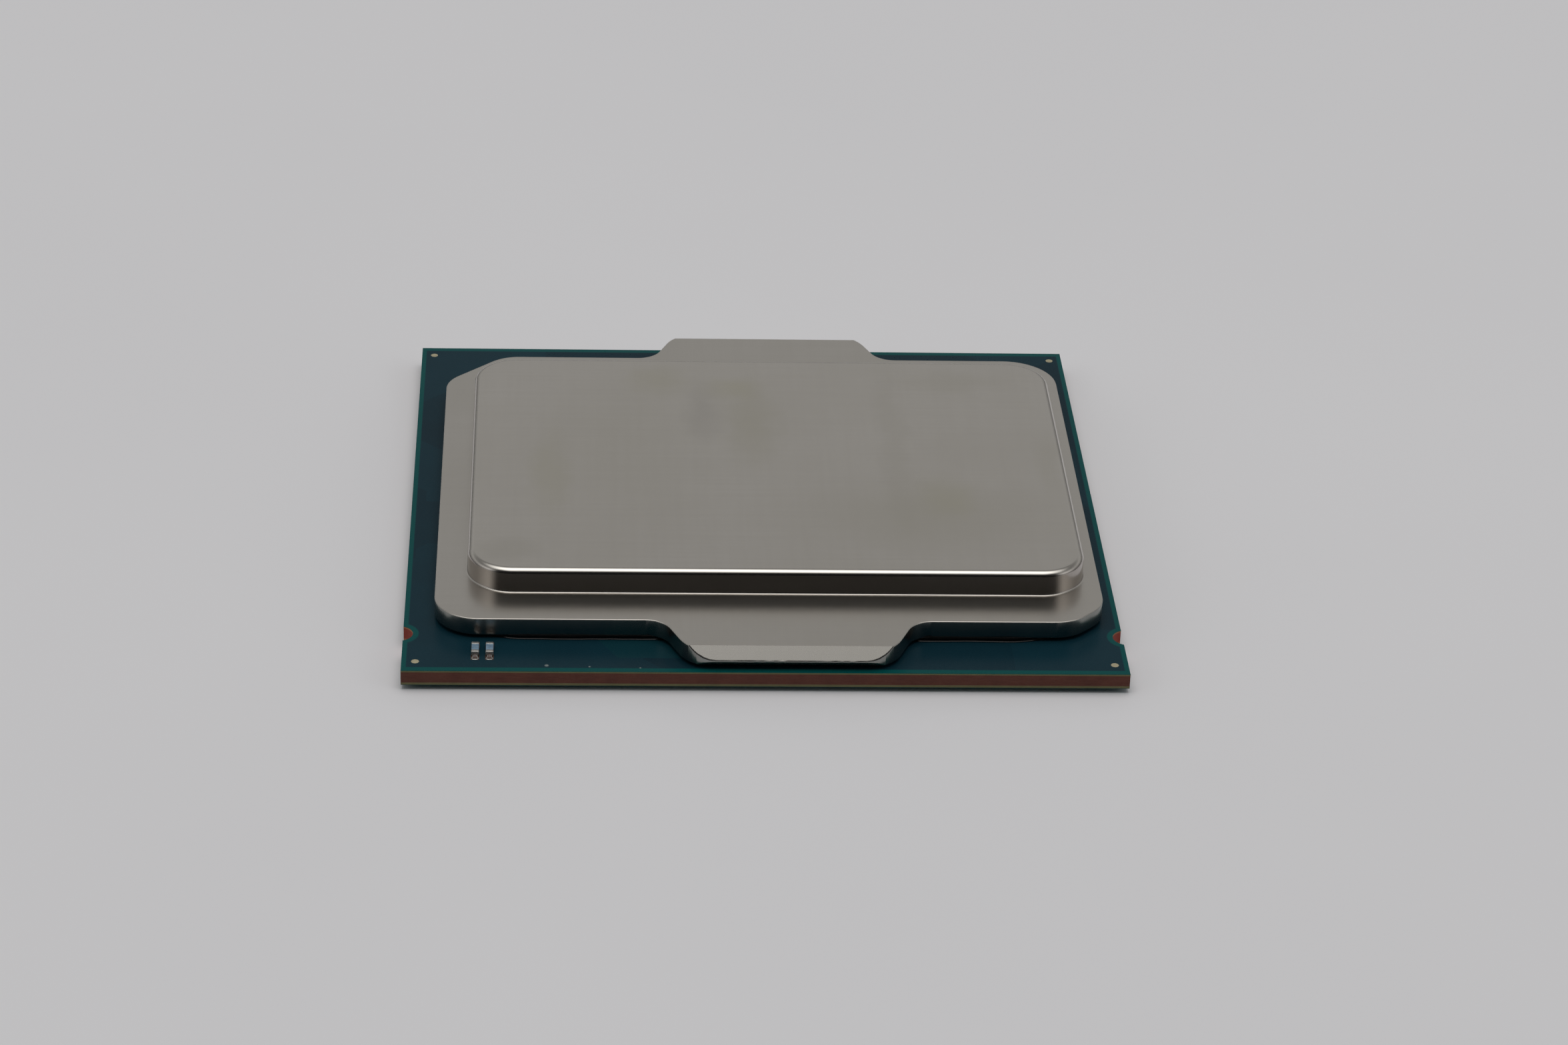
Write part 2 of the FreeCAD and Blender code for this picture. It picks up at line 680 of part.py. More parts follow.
def bevel_tab(body, word, sign, kind, upwards):
    """Slope a tab's end straight across, from its upper face or from its lower one."""
    deep = size("tab_%s_deep" % kind)
    high = size("tab_%s_high" % kind)
    spare = size("bevel_spare")
    slope = deep / high
    face = size("rim_thick") if upwards else 0
    away = 1 if upwards else -1
    outer = size("tab_reach") + spare
    inner = size("tab_reach") - deep - slope * spare
    # The triangle's long side is the slope, run on a little beyond the tab at both of its ends.
    outside = face + away * spare
    beside = face - away * (high + spare / slope)
    corners = [(sign * inner, outside), (sign * outer, beside), (sign * outer, outside)]
    sketch = new_sketch(body, "%s_tab_%s_outline" % (word, kind), "YZ_Plane")
    first = add_loop(sketch, corners)
    sketch.addConstraint(Sketcher.Constraint("Vertical", first + 1))
    sketch.addConstraint(Sketcher.Constraint("Horizontal", first + 2))

    slope_formula = "sizes.tab_%s_deep / sizes.tab_%s_high" % (kind, kind)
    run_on = "sizes.tab_%s_high + sizes.bevel_spare / (%s)" % (kind, slope_formula)
    inner_formula = "sizes.tab_reach - sizes.tab_%s_deep - sizes.bevel_spare * %s" % (kind, slope_formula)
    outside_formula = "sizes.rim_thick + sizes.bevel_spare" if upwards else "sizes.bevel_spare"
    beside_formula = "sizes.rim_thick - (%s)" % run_on if upwards else run_on
    for name, axis, line, end, value, expression in (
        ("outer", "X", first + 1, 1, sign * outer, "sizes.tab_reach + sizes.bevel_spare"),
        ("inner", "X", first, 1, sign * inner, inner_formula),
        ("outside", "Y", first, 1, outside, outside_formula),
        ("beside", "Y", first + 1, 1, beside, beside_formula),
    ):
        ends = (-1, 1, line, end) if value > 0 else (line, end, -1, 1)
        bind(sketch, Sketcher.Constraint("Distance" + axis, *ends, abs(value)), name, expression)
    before = body.Tip.Shape.Volume
    cut = body.newObject("PartDesign::Pocket", "%s_tab_%s" % (word, kind))
    cut.Profile = sketch
    cut.Midplane = True
    cut.Type = "Length"
    cut.setExpression("Length", "2 * (sizes.tab_root + sizes.tab_shift)")
    doc.recompute()
    if cut.Shape.Volume >= before:
        raise RuntimeError("%s tab's %s cut nothing" % (word, kind))


def make_heat_spreader():
    """The lid: a rim with two tabs, a raised face and a shallow hollow over the chip."""
    lid = new_body("heat_spreader", LID_BOTTOM)
    rim = new_sketch(lid, "rim_outline")
    rim.setExpression("AttachmentOffset.Base.x", "sizes.lid_shift")
    add_rectangle(rim, "rim", by_alias("lid_wide"), by_alias("lid_deep"))
    pad(lid, rim, "rim", "sizes.rim_thick")
    left = size("lid_shift") - size("lid_wide") / 2
    right = size("lid_shift") + size("lid_wide") / 2
    front = -size("lid_deep") / 2
    back = size("lid_deep") / 2
    round_edges(lid, "rim_front_left", "rim_round_front", upright_at(left, front))
    round_edges(lid, "rim_back_right", "rim_round_back", upright_at(right, back))
    for word, alias, x, y, turn_x, turn_y in (
        ("front_right", "rim_cut_front", right, front, -1, 1),
        ("back_left", "rim_cut_back", left, back, 1, -1),
    ):
        bevel_edges(lid, "rim_" + word, alias, upright_at(x, y))
        cut = size(alias)
        ends = (upright_at(x + turn_x * cut, y), upright_at(x, y + turn_y * cut))
        round_edges(lid, "rim_" + word + "_soften", "rim_cut_soften",
                    lambda edge, ends=ends: ends[0](edge) or ends[1](edge))

    for word, sign in (("front", -1), ("back", 1)):
        add_tab(lid, word, sign)
    tab_x = size("tab_shift")
    for word, sign in (("front", -1), ("back", 1)):
        y = sign * size("lid_deep") / 2
        half = size("tab_root") / 2
        ends = (upright_at(tab_x - half, y), upright_at(tab_x + half, y))
        round_edges(lid, word + "_tab_roots", "tab_root_round",
                    lambda edge, ends=ends: ends[0](edge) or ends[1](edge))
        y = sign * size("tab_reach")
        half = size("tab_end") / 2
        ends = (upright_at(tab_x - half, y), upright_at(tab_x + half, y))
        round_edges(lid, word + "_tab_corners", "tab_end_round",
                    lambda edge, ends=ends: ends[0](edge) or ends[1](edge))

    raised = new_sketch(lid, "plateau_outline")
    raised.setExpression("AttachmentOffset.Base.x", "sizes.plateau_shift")
    raised.setExpression("AttachmentOffset.Base.z", "sizes.rim_thick")
    add_rectangle(raised, "plateau", by_alias("plateau_wide"), by_alias("plateau_deep"))
    pad(lid, raised, "plateau", "sizes.plateau_high")
    rim_top = size("rim_thick")
    face_top = rim_top + size("plateau_high")
    round_edges(lid, "plateau_corners", "plateau_round",
                lambda edge: is_upright(edge) and edge.BoundBox.ZMin > rim_top - NEAR)

    hollow = new_sketch(lid, "cavity_outline")
    hollow.setExpression("AttachmentOffset.Base.x", "sizes.plateau_shift")
    add_rectangle(hollow, "cavity", by_alias("cavity_wide"), by_alias("cavity_deep"))
    depth = "sizes.bump_gap + sizes.die_thick + sizes.interface_thick - sizes.lid_gap"
    pocket(lid, hollow, "cavity", depth)
    hollow_x = size("plateau_shift")
    reach_x = size("cavity_wide") / 2
    reach_y = size("cavity_deep") / 2
    corners = [upright_at(hollow_x + a * reach_x, b * reach_y) for a in (-1, 1) for b in (-1, 1)]
    round_edges(lid, "cavity_corners", "cavity_round",
                lambda edge: any(test(edge) for test in corners))

    for word, sign in (("front", -1), ("back", 1)):
        bevel_tab(lid, word, sign, "bevel", upwards=True)
        bevel_tab(lid, word, sign, "under", upwards=False)

    def lies_at(edge, z):
        return abs(edge.BoundBox.ZMin - z) < NEAR and abs(edge.BoundBox.ZMax - z) < NEAR

    wall_x = size("plateau_wide") / 2 + NEAR
    wall_y = size("plateau_deep") / 2 + NEAR

    def at_foot(edge):
        middle = edge.BoundBox.Center
        near_x = abs(middle.x - size("plateau_shift")) < wall_x
        return lies_at(edge, rim_top) and near_x and abs(middle.y) < wall_y

    bevel_line = size("tab_reach") - size("tab_bevel_deep") - NEAR

    def at_rim(edge):
        middle = edge.BoundBox.Center
        return lies_at(edge, rim_top) and not at_foot(edge) and abs(middle.y) < bevel_line

    round_edges(lid, "plateau_top_edge", "plateau_edge", lambda edge: lies_at(edge, face_top))
    round_edges(lid, "plateau_foot_edge", "plateau_foot", at_foot)
    round_edges(lid, "rim_top_edge", "rim_edge", at_rim)
    node(lid, "heat_spreader")


def make_sealant():
    """The silicone bead that bonds the rim to the board, with one gap to breathe through."""
    bead = new_body("sealant_bead", BOARD_TOP, "lid_shift")
    outer = new_sketch(bead, "bead_outer")
    add_rectangle(outer, "outer", by_alias("sealant_wide"), by_alias("sealant_deep"))
    pad(bead, outer, "bead", "sizes.lid_gap")
    round_edges(bead, "bead_outer_corners", "sealant_round", is_upright)
    inner = new_sketch(bead, "bead_inner")
    wide = by_alias("sealant_inner_wide")
    deep = by_alias("sealant_inner_deep")
    add_rectangle(inner, "inner", wide, deep)
    pocket(bead, inner, "bead_hollow")
    corners = [upright_at(a * wide[0] / 2, b * deep[0] / 2) for a in (-1, 1) for b in (-1, 1)]
    round_edges(bead, "bead_inner_corners", "sealant_inner_round",
                lambda edge: any(test(edge) for test in corners))

    vent = doc.addObject("Part::Box", "sealant_vent_gap")
    vent.setExpression("Length", "sizes.sealant_wide")
    vent.setExpression("Width", "sizes.sealant_vent")
    vent.setExpression("Height", "1.5 * sizes.lid_gap")
    vent.setExpression("Placement.Base.x", "sizes.lid_shift")
    vent.setExpression("Placement.Base.y", "-sizes.sealant_vent / 2")
    vent.setExpression("Placement.Base.z", formula(BOARD_TOP) + " - 0.25 * sizes.lid_gap")
    make_cut("lid_sealant", bead, [vent])


# ---------------------------------------------------------------- check and write


def check_document():
    """Stop at any object that failed to build, and at any piece without a sound shape."""
    for item in doc.Objects:
        if "Invalid" in item.State or "Error" in item.State:
            raise RuntimeError("failed to build: " + item.Name)
    unsound = [item.Label for item in nodes if item.Shape.isNull() or not item.Shape.isValid()]
    if unsound:
        raise RuntimeError("unsound shapes: " + ", ".join(unsound))


def write_parts():
    """Write each piece to a file of its own."""
    os.makedirs(PARTS_FOLDER, exist_ok=True)
    for item in nodes:
        item.Shape.exportStep(os.path.join(PARTS_FOLDER, item.Label + ".step"))
        box = item.Shape.BoundBox
        print("%-28s %5d solids %10.3f mm3  z %.3f to %.3f"
              % (item.Label, len(item.Shape.Solids), item.Shape.Volume, box.ZMin, box.ZMax))


fill_sheet()
front_places = front_capacitor_places()
land_side_places = land_capacitor_places()
make_board()
make_masks_and_lands(capacitor_pads(FRONT_CAPACITOR, front_places),
                     capacitor_pads(LAND_CAPACITOR, land_side_places))
board_top = Placement(Vector(0, 0, total(BOARD_TOP)), Rotation())
board_under = Placement(Vector(0, 0, total(MASK_LOWER)), Rotation(Vector(1, 0, 0), 180))
make_capacitors("front", FRONT_CAPACITOR, front_places, board_top)
make_capacitors("land", LAND_CAPACITOR, land_side_places, board_under)
make_chip()
make_sealant()
make_heat_spreader()
doc.recompute()
check_document()
write_parts()
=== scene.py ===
import math

import bmesh
import bpy
from mathutils import Matrix, Vector, noise


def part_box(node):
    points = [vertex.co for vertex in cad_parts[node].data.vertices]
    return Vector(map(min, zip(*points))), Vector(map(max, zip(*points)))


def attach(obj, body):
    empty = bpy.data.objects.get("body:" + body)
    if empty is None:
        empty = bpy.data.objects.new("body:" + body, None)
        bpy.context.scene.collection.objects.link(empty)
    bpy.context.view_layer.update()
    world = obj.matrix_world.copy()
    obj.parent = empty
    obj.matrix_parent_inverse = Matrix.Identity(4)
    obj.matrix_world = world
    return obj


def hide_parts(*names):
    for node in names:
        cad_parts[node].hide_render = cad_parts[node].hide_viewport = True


# A computer processor on a pale floor: a nickel-plated heat spreader on a square laminated board.
# Lengths here are millimetres in the processor's own frame, and the scene is in metres.

MM = 0.001

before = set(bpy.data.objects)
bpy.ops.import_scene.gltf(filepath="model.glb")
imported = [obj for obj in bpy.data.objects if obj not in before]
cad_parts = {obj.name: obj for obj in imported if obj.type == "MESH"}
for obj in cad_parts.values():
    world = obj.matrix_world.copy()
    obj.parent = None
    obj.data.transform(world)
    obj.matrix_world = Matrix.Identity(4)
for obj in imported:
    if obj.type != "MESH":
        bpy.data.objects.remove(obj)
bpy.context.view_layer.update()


def box_mm(name):
    """A piece's lowest and highest corners, in millimetres."""
    low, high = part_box(name)
    return low / MM, high / MM


# ---------------------------------------------------------------- sizes

LID_LOW, LID_HIGH = box_mm("heat_spreader")
BOARD_CORNER = box_mm("solder_mask_upper")[1]
BOARD_TOP = BOARD_CORNER.z
BOARD_HALF = BOARD_CORNER.x
BOARD_UNDER = box_mm("solder_mask_lower")[0].z

# The heat spreader's rim and its two tabs.
LID_BOTTOM = LID_LOW.z
RIM_THICK = 0.95
RIM_TOP = LID_BOTTOM + RIM_THICK
RIM_LEFT = LID_LOW.x
RIM_RIGHT = LID_HIGH.x
RIM_REACH = 15.38
RIM_ROUND_FRONT = 2.35
RIM_ROUND_BACK = 2.9
RIM_CUT_FRONT = 1.8
RIM_CUT_BACK = 3.2
RIM_CUT_SOFTEN = 2.2
RIM_EDGE = 0.05
RIM_LOWER_EDGE = 0.05
TAB_CENTRE = 1.24
TAB_ROOT_HALF = 6.55
TAB_END_HALF = 5.20
TAB_REACH = LID_HIGH.y
TAB_ROOT_ROUND = 1.4
TAB_END_ROUND = 2.0
BEVEL_DEEP = 0.58
BEVEL_HIGH = 0.59
UNDER_DEEP = 0.26
UNDER_RISE = 0.30
BEVEL_LINE = TAB_REACH - BEVEL_DEEP
UNDER_LINE = TAB_REACH - UNDER_DEEP
NOSE_STEPS = 48
# The sheared end of a tab is uneven by this much, in these waves per millimetre along it, and over
# this much of its reach.
NOSE_RAGGED = 0.012
NOSE_WAVES = (4.0, 11.0)
NOSE_END = 0.02
# Where the rim is thinner than this, the roundings of its edges are smaller in proportion.
RIM_THIN = 0.30
# Two heights or lengths are the same within this.
NEAR = 0.0001
# A face counts as level when its normal is at least this close to upright.
LEVEL = 0.99999

# Its raised face, and the hollow under it.
FACE_TOP = LID_HIGH.z
FACE_CENTRE = 0.78
FACE_HALF_X = 16.275
FACE_HALF_Y = 12.53
FACE_ROUND = 2.4
FACE_EDGE = 0.36
FACE_CREASE = math.radians(20)
FACE_FOOT = 0.10
HOLLOW_HALF_X = 14.0
HOLLOW_HALF_Y = 10.75
HOLLOW_ROUND = 1.5
HOLLOW_CEILING = box_mm("thermal_interface")[1].z

# The sealant between the rim and the board.
SEALANT_CENTRE = 0.34
SEALANT_HALF_X = 17.15
SEALANT_HALF_Y = 15.43
SEALANT_ROUND = 4.5
SEALANT_THICK = 2.3
SEALANT_VENT = 4.0
SEALANT_STEP = 0.35
# How far the bead's faces wander in and out, in two layers of noise: amount, waves per
# millimetre, and the layer's own place in the noise.
SEALANT_WANDER = ((0.07, 0.35, 2.0), (0.025, 1.6, 7.0))

# The board's border strip without copper, and its keying notches.
SIDE_MARGIN = 0.25
FRONT_MARGIN = 0.36
NOTCH_MARGIN = 0.30
NOTCH_RADIUS = 0.78
NOTCH_X = 19.02
NOTCH_Y = -14.93


# ---------------------------------------------------------------- outlines

# How many sides an arc has between two of its splits.
SPLIT_STEPS = 3


def corner(x, y, radius, splits=(), after=1):
    """A corner of an outline. Its arc has a vertex at each Y of splits, and the straight side
    after it is drawn in as many steps as after says."""
    return {"at": Vector((x, y)), "radius": radius, "splits": splits, "after": after}


def arc_angles(centre, radius, start, sweep, splits, steps):
    """The angles of an arc's vertices, spread evenly between its ends and its splits."""
    stops = [0.0, 1.0]
    for level in splits:
        ratio = (level - centre.y) / radius
        if abs(ratio) >= 1:
            continue
        for angle in (math.asin(ratio), math.pi - math.asin(ratio)):
            share = ((angle - start) * math.copysign(1, sweep)) % (2 * math.pi) / abs(sweep)
            if 0.001 < share < 0.999:
                stops.append(share)
    stops.sort()
    angles = []
    count = SPLIT_STEPS if splits else steps
    for low, high in zip(stops, stops[1:]):
        angles += [start + sweep * (low + (high - low) * step / count) for step in range(count)]
    return angles + [start + sweep]


def outline(corners, inset, steps=12):
    """The vertices of a rounded outline, counter-clockwise, drawn inwards by inset."""
    points = []
    count = len(corners)
    for index, item in enumerate(corners):
        at = item["at"]
        arrive = (at - corners[index - 1]["at"]).normalized()
        leave = (corners[(index + 1) % count]["at"] - at).normalized()
        side = math.copysign(1, arrive.cross(leave))
        inward = Vector((-arrive.y, arrive.x))
        onward = Vector((-leave.y, leave.x))
        centre = at + side * item["radius"] * (inward + onward) / (1 + inward.dot(onward))
        radius = item["radius"] - side * inset
        start = math.atan2(-side * inward.y, -side * inward.x)
        sweep = math.atan2(arrive.cross(leave), arrive.dot(leave))
        levels = [math.copysign(level, at.y) for level in item["splits"]]
        for angle in arc_angles(centre, radius, start, sweep, levels, steps):
            points.append(centre + radius * Vector((math.cos(angle), math.sin(angle))))
        points += [None] * (item["after"] - 1)
    return fill_straights(points)


def fill_straights(points):
    """Put evenly spaced vertices where an outline holds empty places."""
    count = len(points)
    filled = list(points)
    index = 0
    while index < count:
        if points[index] is None:
            gap = 1
            while points[(index + gap) % count] is None:
                gap += 1
            first = points[index - 1]
            last = points[(index + gap) % count]
            for step in range(gap):
                filled[index + step] = first.lerp(last, (step + 1) / (gap + 1))
            index += gap
        index += 1
    return filled


def rectangle(centre_x, half_x, half_y, radius):
    """The corners of a rounded rectangle."""
    places = ((-1, -1), (1, -1), (1, 1), (-1, 1))
    return [corner(centre_x + a * half_x, b * half_y, radius) for a, b in places]


# ---------------------------------------------------------------- meshes


def raise_ring(mesh, points, height):
    """The vertices of one level ring."""
    return [mesh.verts.new((p.x, p.y, height)) for p in points]


def join_rings(mesh, rings):
    """Quads between each ring and the next."""
    for low, high in zip(rings, rings[1:]):
        count = len(low)
        for index in range(count):
            after = (index + 1) % count
            mesh.faces.new((low[index], low[after], high[after], high[index]))


def loop_edges(mesh, loop):
    """The edges of a closed loop of vertices, made where they don't exist yet."""
    edges = []
    for index, vertex in enumerate(loop):
        after = loop[(index + 1) % len(loop)]
        edges.append(mesh.edges.get((vertex, after)) or mesh.edges.new((vertex, after)))
    return edges


def fill_between(mesh, *loops):
    """A flat fill of the area inside the first loop and outside the others."""
    edges = [edge for loop in loops for edge in loop_edges(mesh, loop)]
    bmesh.ops.triangle_fill(mesh, use_beauty=True, edges=edges)


def finish_mesh(mesh, name, smooth=True, weighted=True):
    """Turn a mesh in millimetres into an object in metres, with soft shading on its curves."""
    bmesh.ops.recalc_face_normals(mesh, faces=mesh.faces)
    bmesh.ops.scale(mesh, vec=(MM, MM, MM), verts=mesh.verts)
    data = bpy.data.meshes.new(name)
    mesh.to_mesh(data)
    mesh.free()
    item = bpy.data.objects.new(name, data)
    bpy.context.scene.collection.objects.link(item)
    if smooth:
        data.polygons.foreach_set("use_smooth", [True] * len(data.polygons))
    if weighted:
        normals = item.modifiers.new("face_weighted_normals", "WEIGHTED_NORMAL")
        normals.keep_sharp = True
    return item


def place(item, material, slot, *replaced):
    """Give a new piece its finish, and let it ride on the processor in place of plain ones."""
    item.data.materials.append(material)
    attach(item, "root")
    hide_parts(*replaced)


def arc_profile(radius, steps, crease=0.0):
    """A quarter round from upright to level, as pairs (inwards, downwards from its top). It leaves
    the upright wall at an angle of crease."""
    profile = []
    for step in range(steps + 1):
        angle = crease + (math.pi / 2 - crease) * step / steps
        inwards = radius * (math.cos(crease) - math.cos(angle))
        profile.append((inwards, radius * (1 - math.sin(angle))))
    return profile


# ---------------------------------------------------------------- the heat spreader


def bevel_drop(y):
    """How far the rim's upper face has sloped down at a Y near the end of a tab."""
    return max(0.0, abs(y) - BEVEL_LINE) * BEVEL_HIGH / BEVEL_DEEP


def rim_upper(y):
    """The height of the rim's upper face."""
    return RIM_TOP - bevel_drop(y)


def rim_lower(y):
    """The height of the rim's lower face, which slopes up at the very end of a tab."""
    return LID_BOTTOM + max(0.0, abs(y) - UNDER_LINE) * UNDER_RISE / UNDER_DEEP


def ragged(x, y):
    """The sheared end of a tab is slightly uneven."""
    if abs(y) < TAB_REACH - NOSE_END:
        return 0.0
    coarse = noise.noise(Vector((x * NOSE_WAVES[0], y, 0.0)))
    fine = noise.noise(Vector((x * NOSE_WAVES[1], y, 4.0)))
    return NOSE_RAGGED * (coarse + fine)


def rim_corners():
    """The rim's outline with its two tabs, from the front left corner counter-clockwise."""
    levels = (BEVEL_LINE, UNDER_LINE)
    left_root = TAB_CENTRE - TAB_ROOT_HALF
    right_root = TAB_CENTRE + TAB_ROOT_HALF
    left_end = TAB_CENTRE - TAB_END_HALF
    right_end = TAB_CENTRE + TAB_END_HALF
    return [
        corner(RIM_LEFT, -RIM_REACH, RIM_ROUND_FRONT),
        corner(left_root, -RIM_REACH, TAB_ROOT_ROUND),
        corner(left_end, -TAB_REACH, TAB_END_ROUND, levels, NOSE_STEPS),
        corner(right_end, -TAB_REACH, TAB_END_ROUND, levels),
        corner(right_root, -RIM_REACH, TAB_ROOT_ROUND),
        corner(RIM_RIGHT - RIM_CUT_FRONT, -RIM_REACH, RIM_CUT_SOFTEN),
        corner(RIM_RIGHT, -RIM_REACH + RIM_CUT_FRONT, RIM_CUT_SOFTEN),
        corner(RIM_RIGHT, RIM_REACH, RIM_ROUND_BACK),
        corner(right_root, RIM_REACH, TAB_ROOT_ROUND),
        corner(right_end, TAB_REACH, TAB_END_ROUND, levels, NOSE_STEPS),
        corner(left_end, TAB_REACH, TAB_END_ROUND, levels),
        corner(left_root, RIM_REACH, TAB_ROOT_ROUND),
        corner(RIM_LEFT + RIM_CUT_BACK, RIM_REACH, RIM_CUT_SOFTEN),
        corner(RIM_LEFT, RIM_REACH - RIM_CUT_BACK, RIM_CUT_SOFTEN),
    ]


def split_tab_end(mesh, ring, line):
    """Fill the sloping end of each tab beyond a line, and return the loop that is left."""
    loop = list(ring)
    for sign in (-1, 1):
        mesh.faces.new([v for v in loop if sign * v.co.y > line - NEAR])
        loop = [v for v in loop if sign * v.co.y < line + NEAR]
    return loop


def on_line(edge, line):
    """Whether an edge lies on the crease where a tab's end starts to slope."""
    return all(abs(abs(vertex.co.y) - line) < NEAR for vertex in edge.verts)


def make_heat_spreader():
    """The lid in one closed mesh: rim, tabs, raised face, and the hollow of its underside."""
    mesh = bmesh.new()
    corners = rim_corners()
    wall = outline(corners, 0)
    room = [min(1.0, (rim_upper(p.y) - rim_lower(p.y)) / RIM_THIN) for p in wall]

    def rim_ring(inset, from_below, amount):
        ring = []
        for point, share in zip(outline(corners, inset), room):
            if from_below:
                height = rim_lower(point.y) + amount * share
            else:
                height = rim_upper(point.y) - amount * share
            height += ragged(point.x, point.y) if share < 0.9 else 0.0
            ring.append(mesh.verts.new((point.x, point.y, height)))
        return ring

    under = reversed(arc_profile(RIM_LOWER_EDGE, 3))
    lower = [rim_ring(inset, True, drop) for inset, drop in under]
    upper = [rim_ring(inset, False, drop) for inset, drop in arc_profile(RIM_EDGE, 5)]
    join_rings(mesh, lower + upper)

    face = rectangle(FACE_CENTRE, FACE_HALF_X, FACE_HALF_Y, FACE_ROUND)
    foot = [(-out, RIM_TOP + up) for up, out in arc_profile(FACE_FOOT, 5)]
    edge = [(inset, FACE_TOP - drop) for inset, drop in arc_profile(FACE_EDGE, 16, FACE_CREASE)]
    wall_top = edge[0][1]
    rings = [raise_ring(mesh, outline(face, inset, 24), height) for inset, height in foot + edge]
    join_rings(mesh, rings)
    mesh.faces.new(rings[-1])

    fill_between(mesh, split_tab_end(mesh, upper[-1], BEVEL_LINE), rings[0])

    hollow = rectangle(FACE_CENTRE, HOLLOW_HALF_X, HOLLOW_HALF_Y, HOLLOW_ROUND)
    levels = (LID_BOTTOM, HOLLOW_CEILING)
    rings = [raise_ring(mesh, outline(hollow, 0), height) for height in levels]
    join_rings(mesh, rings)
    mesh.faces.new(rings[-1])
    fill_between(mesh, split_tab_end(mesh, lower[0], UNDER_LINE), rings[0])

    for face in mesh.faces:
        face.normal_update()
        face.smooth = abs(face.normal.z) < LEVEL
    for edge in mesh.edges:
        edge.smooth = not any(on_line(edge, line) for line in (BEVEL_LINE, UNDER_LINE))
        if all(abs(vertex.co.z - wall_top) < NEAR for vertex in edge.verts):
            edge.smooth = False
    return finish_mesh(mesh, "heat_spreader_lid", smooth=False)


# ---------------------------------------------------------------- the sealant


def sealant_path():
    """The line of the sealant's outer face, from one side of its gap round to the other."""
    right = SEALANT_CENTRE + SEALANT_HALF_X
    half_vent = SEALANT_VENT / 2
    loop = outline(rectangle(SEALANT_CENTRE, SEALANT_HALF_X, SEALANT_HALF_Y, SEALANT_ROUND), 0, 16)
    behind = [p for p in loop if p.x > SEALANT_CENTRE and p.y > 0]
    first = loop.index(behind[0])
    ordered = loop[first:] + loop[:first]
    rough = [Vector((right, half_vent))] + ordered + [Vector((right, -half_vent))]
    fine = []
    for start, end in zip(rough, rough[1:]):
        count = max(1, round((end - start).length / SEALANT_STEP))
        fine += [start.lerp(end, step / count) for step in range(count)]
    return fine + [rough[-1]]


def make_sealant():
    """A bead pressed flat between the rim and the board, with a slightly uneven outer face."""
    path = sealant_path()
    gap = LID_BOTTOM - BOARD_TOP
    # Each pair is how far in from the outer line, and how far up from the board as a share of the
    # gap between the board and the rim.
    section = [(-0.07, 0.0), (-0.02, 0.12), (0.02, 0.35), (0.03, 0.6), (0.0, 0.85), (-0.05, 1.0)]
    section += [(SEALANT_THICK, 1.0), (SEALANT_THICK - 0.06, 0.5), (SEALANT_THICK, 0.0)]
    mesh = bmesh.new()
    rows = []
    for index, point in enumerate(path):
        ahead = path[min(index + 1, len(path) - 1)] - path[max(index - 1, 0)]
        inward = Vector((-ahead.y, ahead.x)).normalized()
        squeeze = 0.0
        for amount, waves, layer in SEALANT_WANDER:
            squeeze += amount * noise.noise(Vector((point.x * waves, point.y * waves, layer)))
        row = []
        for depth, share in section:
            loose = squeeze if depth < SEALANT_THICK / 2 else -squeeze
            at = point + inward * (depth + loose)
            row.append(mesh.verts.new((at.x, at.y, BOARD_TOP + gap * share)))
        rows.append(row)
    count = len(section)
    for here, there in zip(rows, rows[1:]):
        for index in range(count):
            after = (index + 1) % count
            mesh.faces.new((here[index], here[after], there[after], there[index]))
    mesh.faces.new(rows[0])
    mesh.faces.new(rows[-1])
    return finish_mesh(mesh, "lid_sealant_bead")


# ---------------------------------------------------------------- chip capacitors

FRONT_CAPACITOR = {"length": 1.03, "width": 0.41, "height": 0.26, "terminal": 0.24,
                   "pad_width": 0.44, "pad_past": 0.38, "climb": 0.15}
LAND_CAPACITOR = {"length": 1.00, "width": 0.50, "height": 0.26, "terminal": 0.24,
                  "pad_width": 0.54, "pad_past": 0.14, "climb": 0.12}
SOLDER_FILM = 0.02
SOLDER_THIN = 0.012
# The raised rim of a solder joint: its height, its place and its width, both as shares of the way
# from the joint's middle to its border.
RIM_HIGH = 0.030
RIM_SHARE = 0.90
RIM_WIDTH = 0.06
SOLDER_COLUMNS = 14
SOLDER_ROWS = 14
# The joint's width at its neck, and how its flare and toe change it, with their places along it.
NECK_WIDTH = 0.66
FLARE_START = 0.30
FLARE_LONG = 0.40
FLARE_WIDER = 0.34
TOE_START = 0.75
TOE_LONG = 0.25
TOE_NARROWER = 0.22
# How far a solder joint reaches under the terminal.
SOLDER_UNDER = 0.05
# The share of the joint's half width that its flux-stained middle takes, and its share of length.
FLUX_ACROSS = 0.62
FLUX_ALONG = RIM_SHARE - 0.15
# A terminal wraps its capacitor's body and is this thick, and overlaps it by this much.
TERMINAL_SKIN = 0.012
TERMINAL_LAP = 0.03
TERMINAL_ROUND = 0.045
BODY_ROUND = 0.018
LAND_COLUMNS = (-8.6, -6.6, -3.0, -1.0, 1.0, 3.0, 6.6, 8.6)
LAND_ROWS = (-4.5, -1.5, 1.5, 4.5)
FRONT_PAIR = ((-14.98, -16.72), (-14.24, -16.72))


def add_rounded_block(mesh, low, high, radius, steps):
    """A block with all its edges and corners rounded."""
    made = bmesh.ops.create_cube(mesh, size=1.0)["verts"]
    size = Vector(high) - Vector(low)
    middle = (Vector(high) + Vector(low)) / 2
    for vertex in made:
        vertex.co = Vector(a * b for a, b in zip(vertex.co, size)) + middle
    edges = list({edge for vertex in made for edge in vertex.link_edges})
    bmesh.ops.bevel(mesh, geom=edges, offset=radius, segments=steps, profile=0.5,
                    affect="EDGES", clamp_overlap=True)


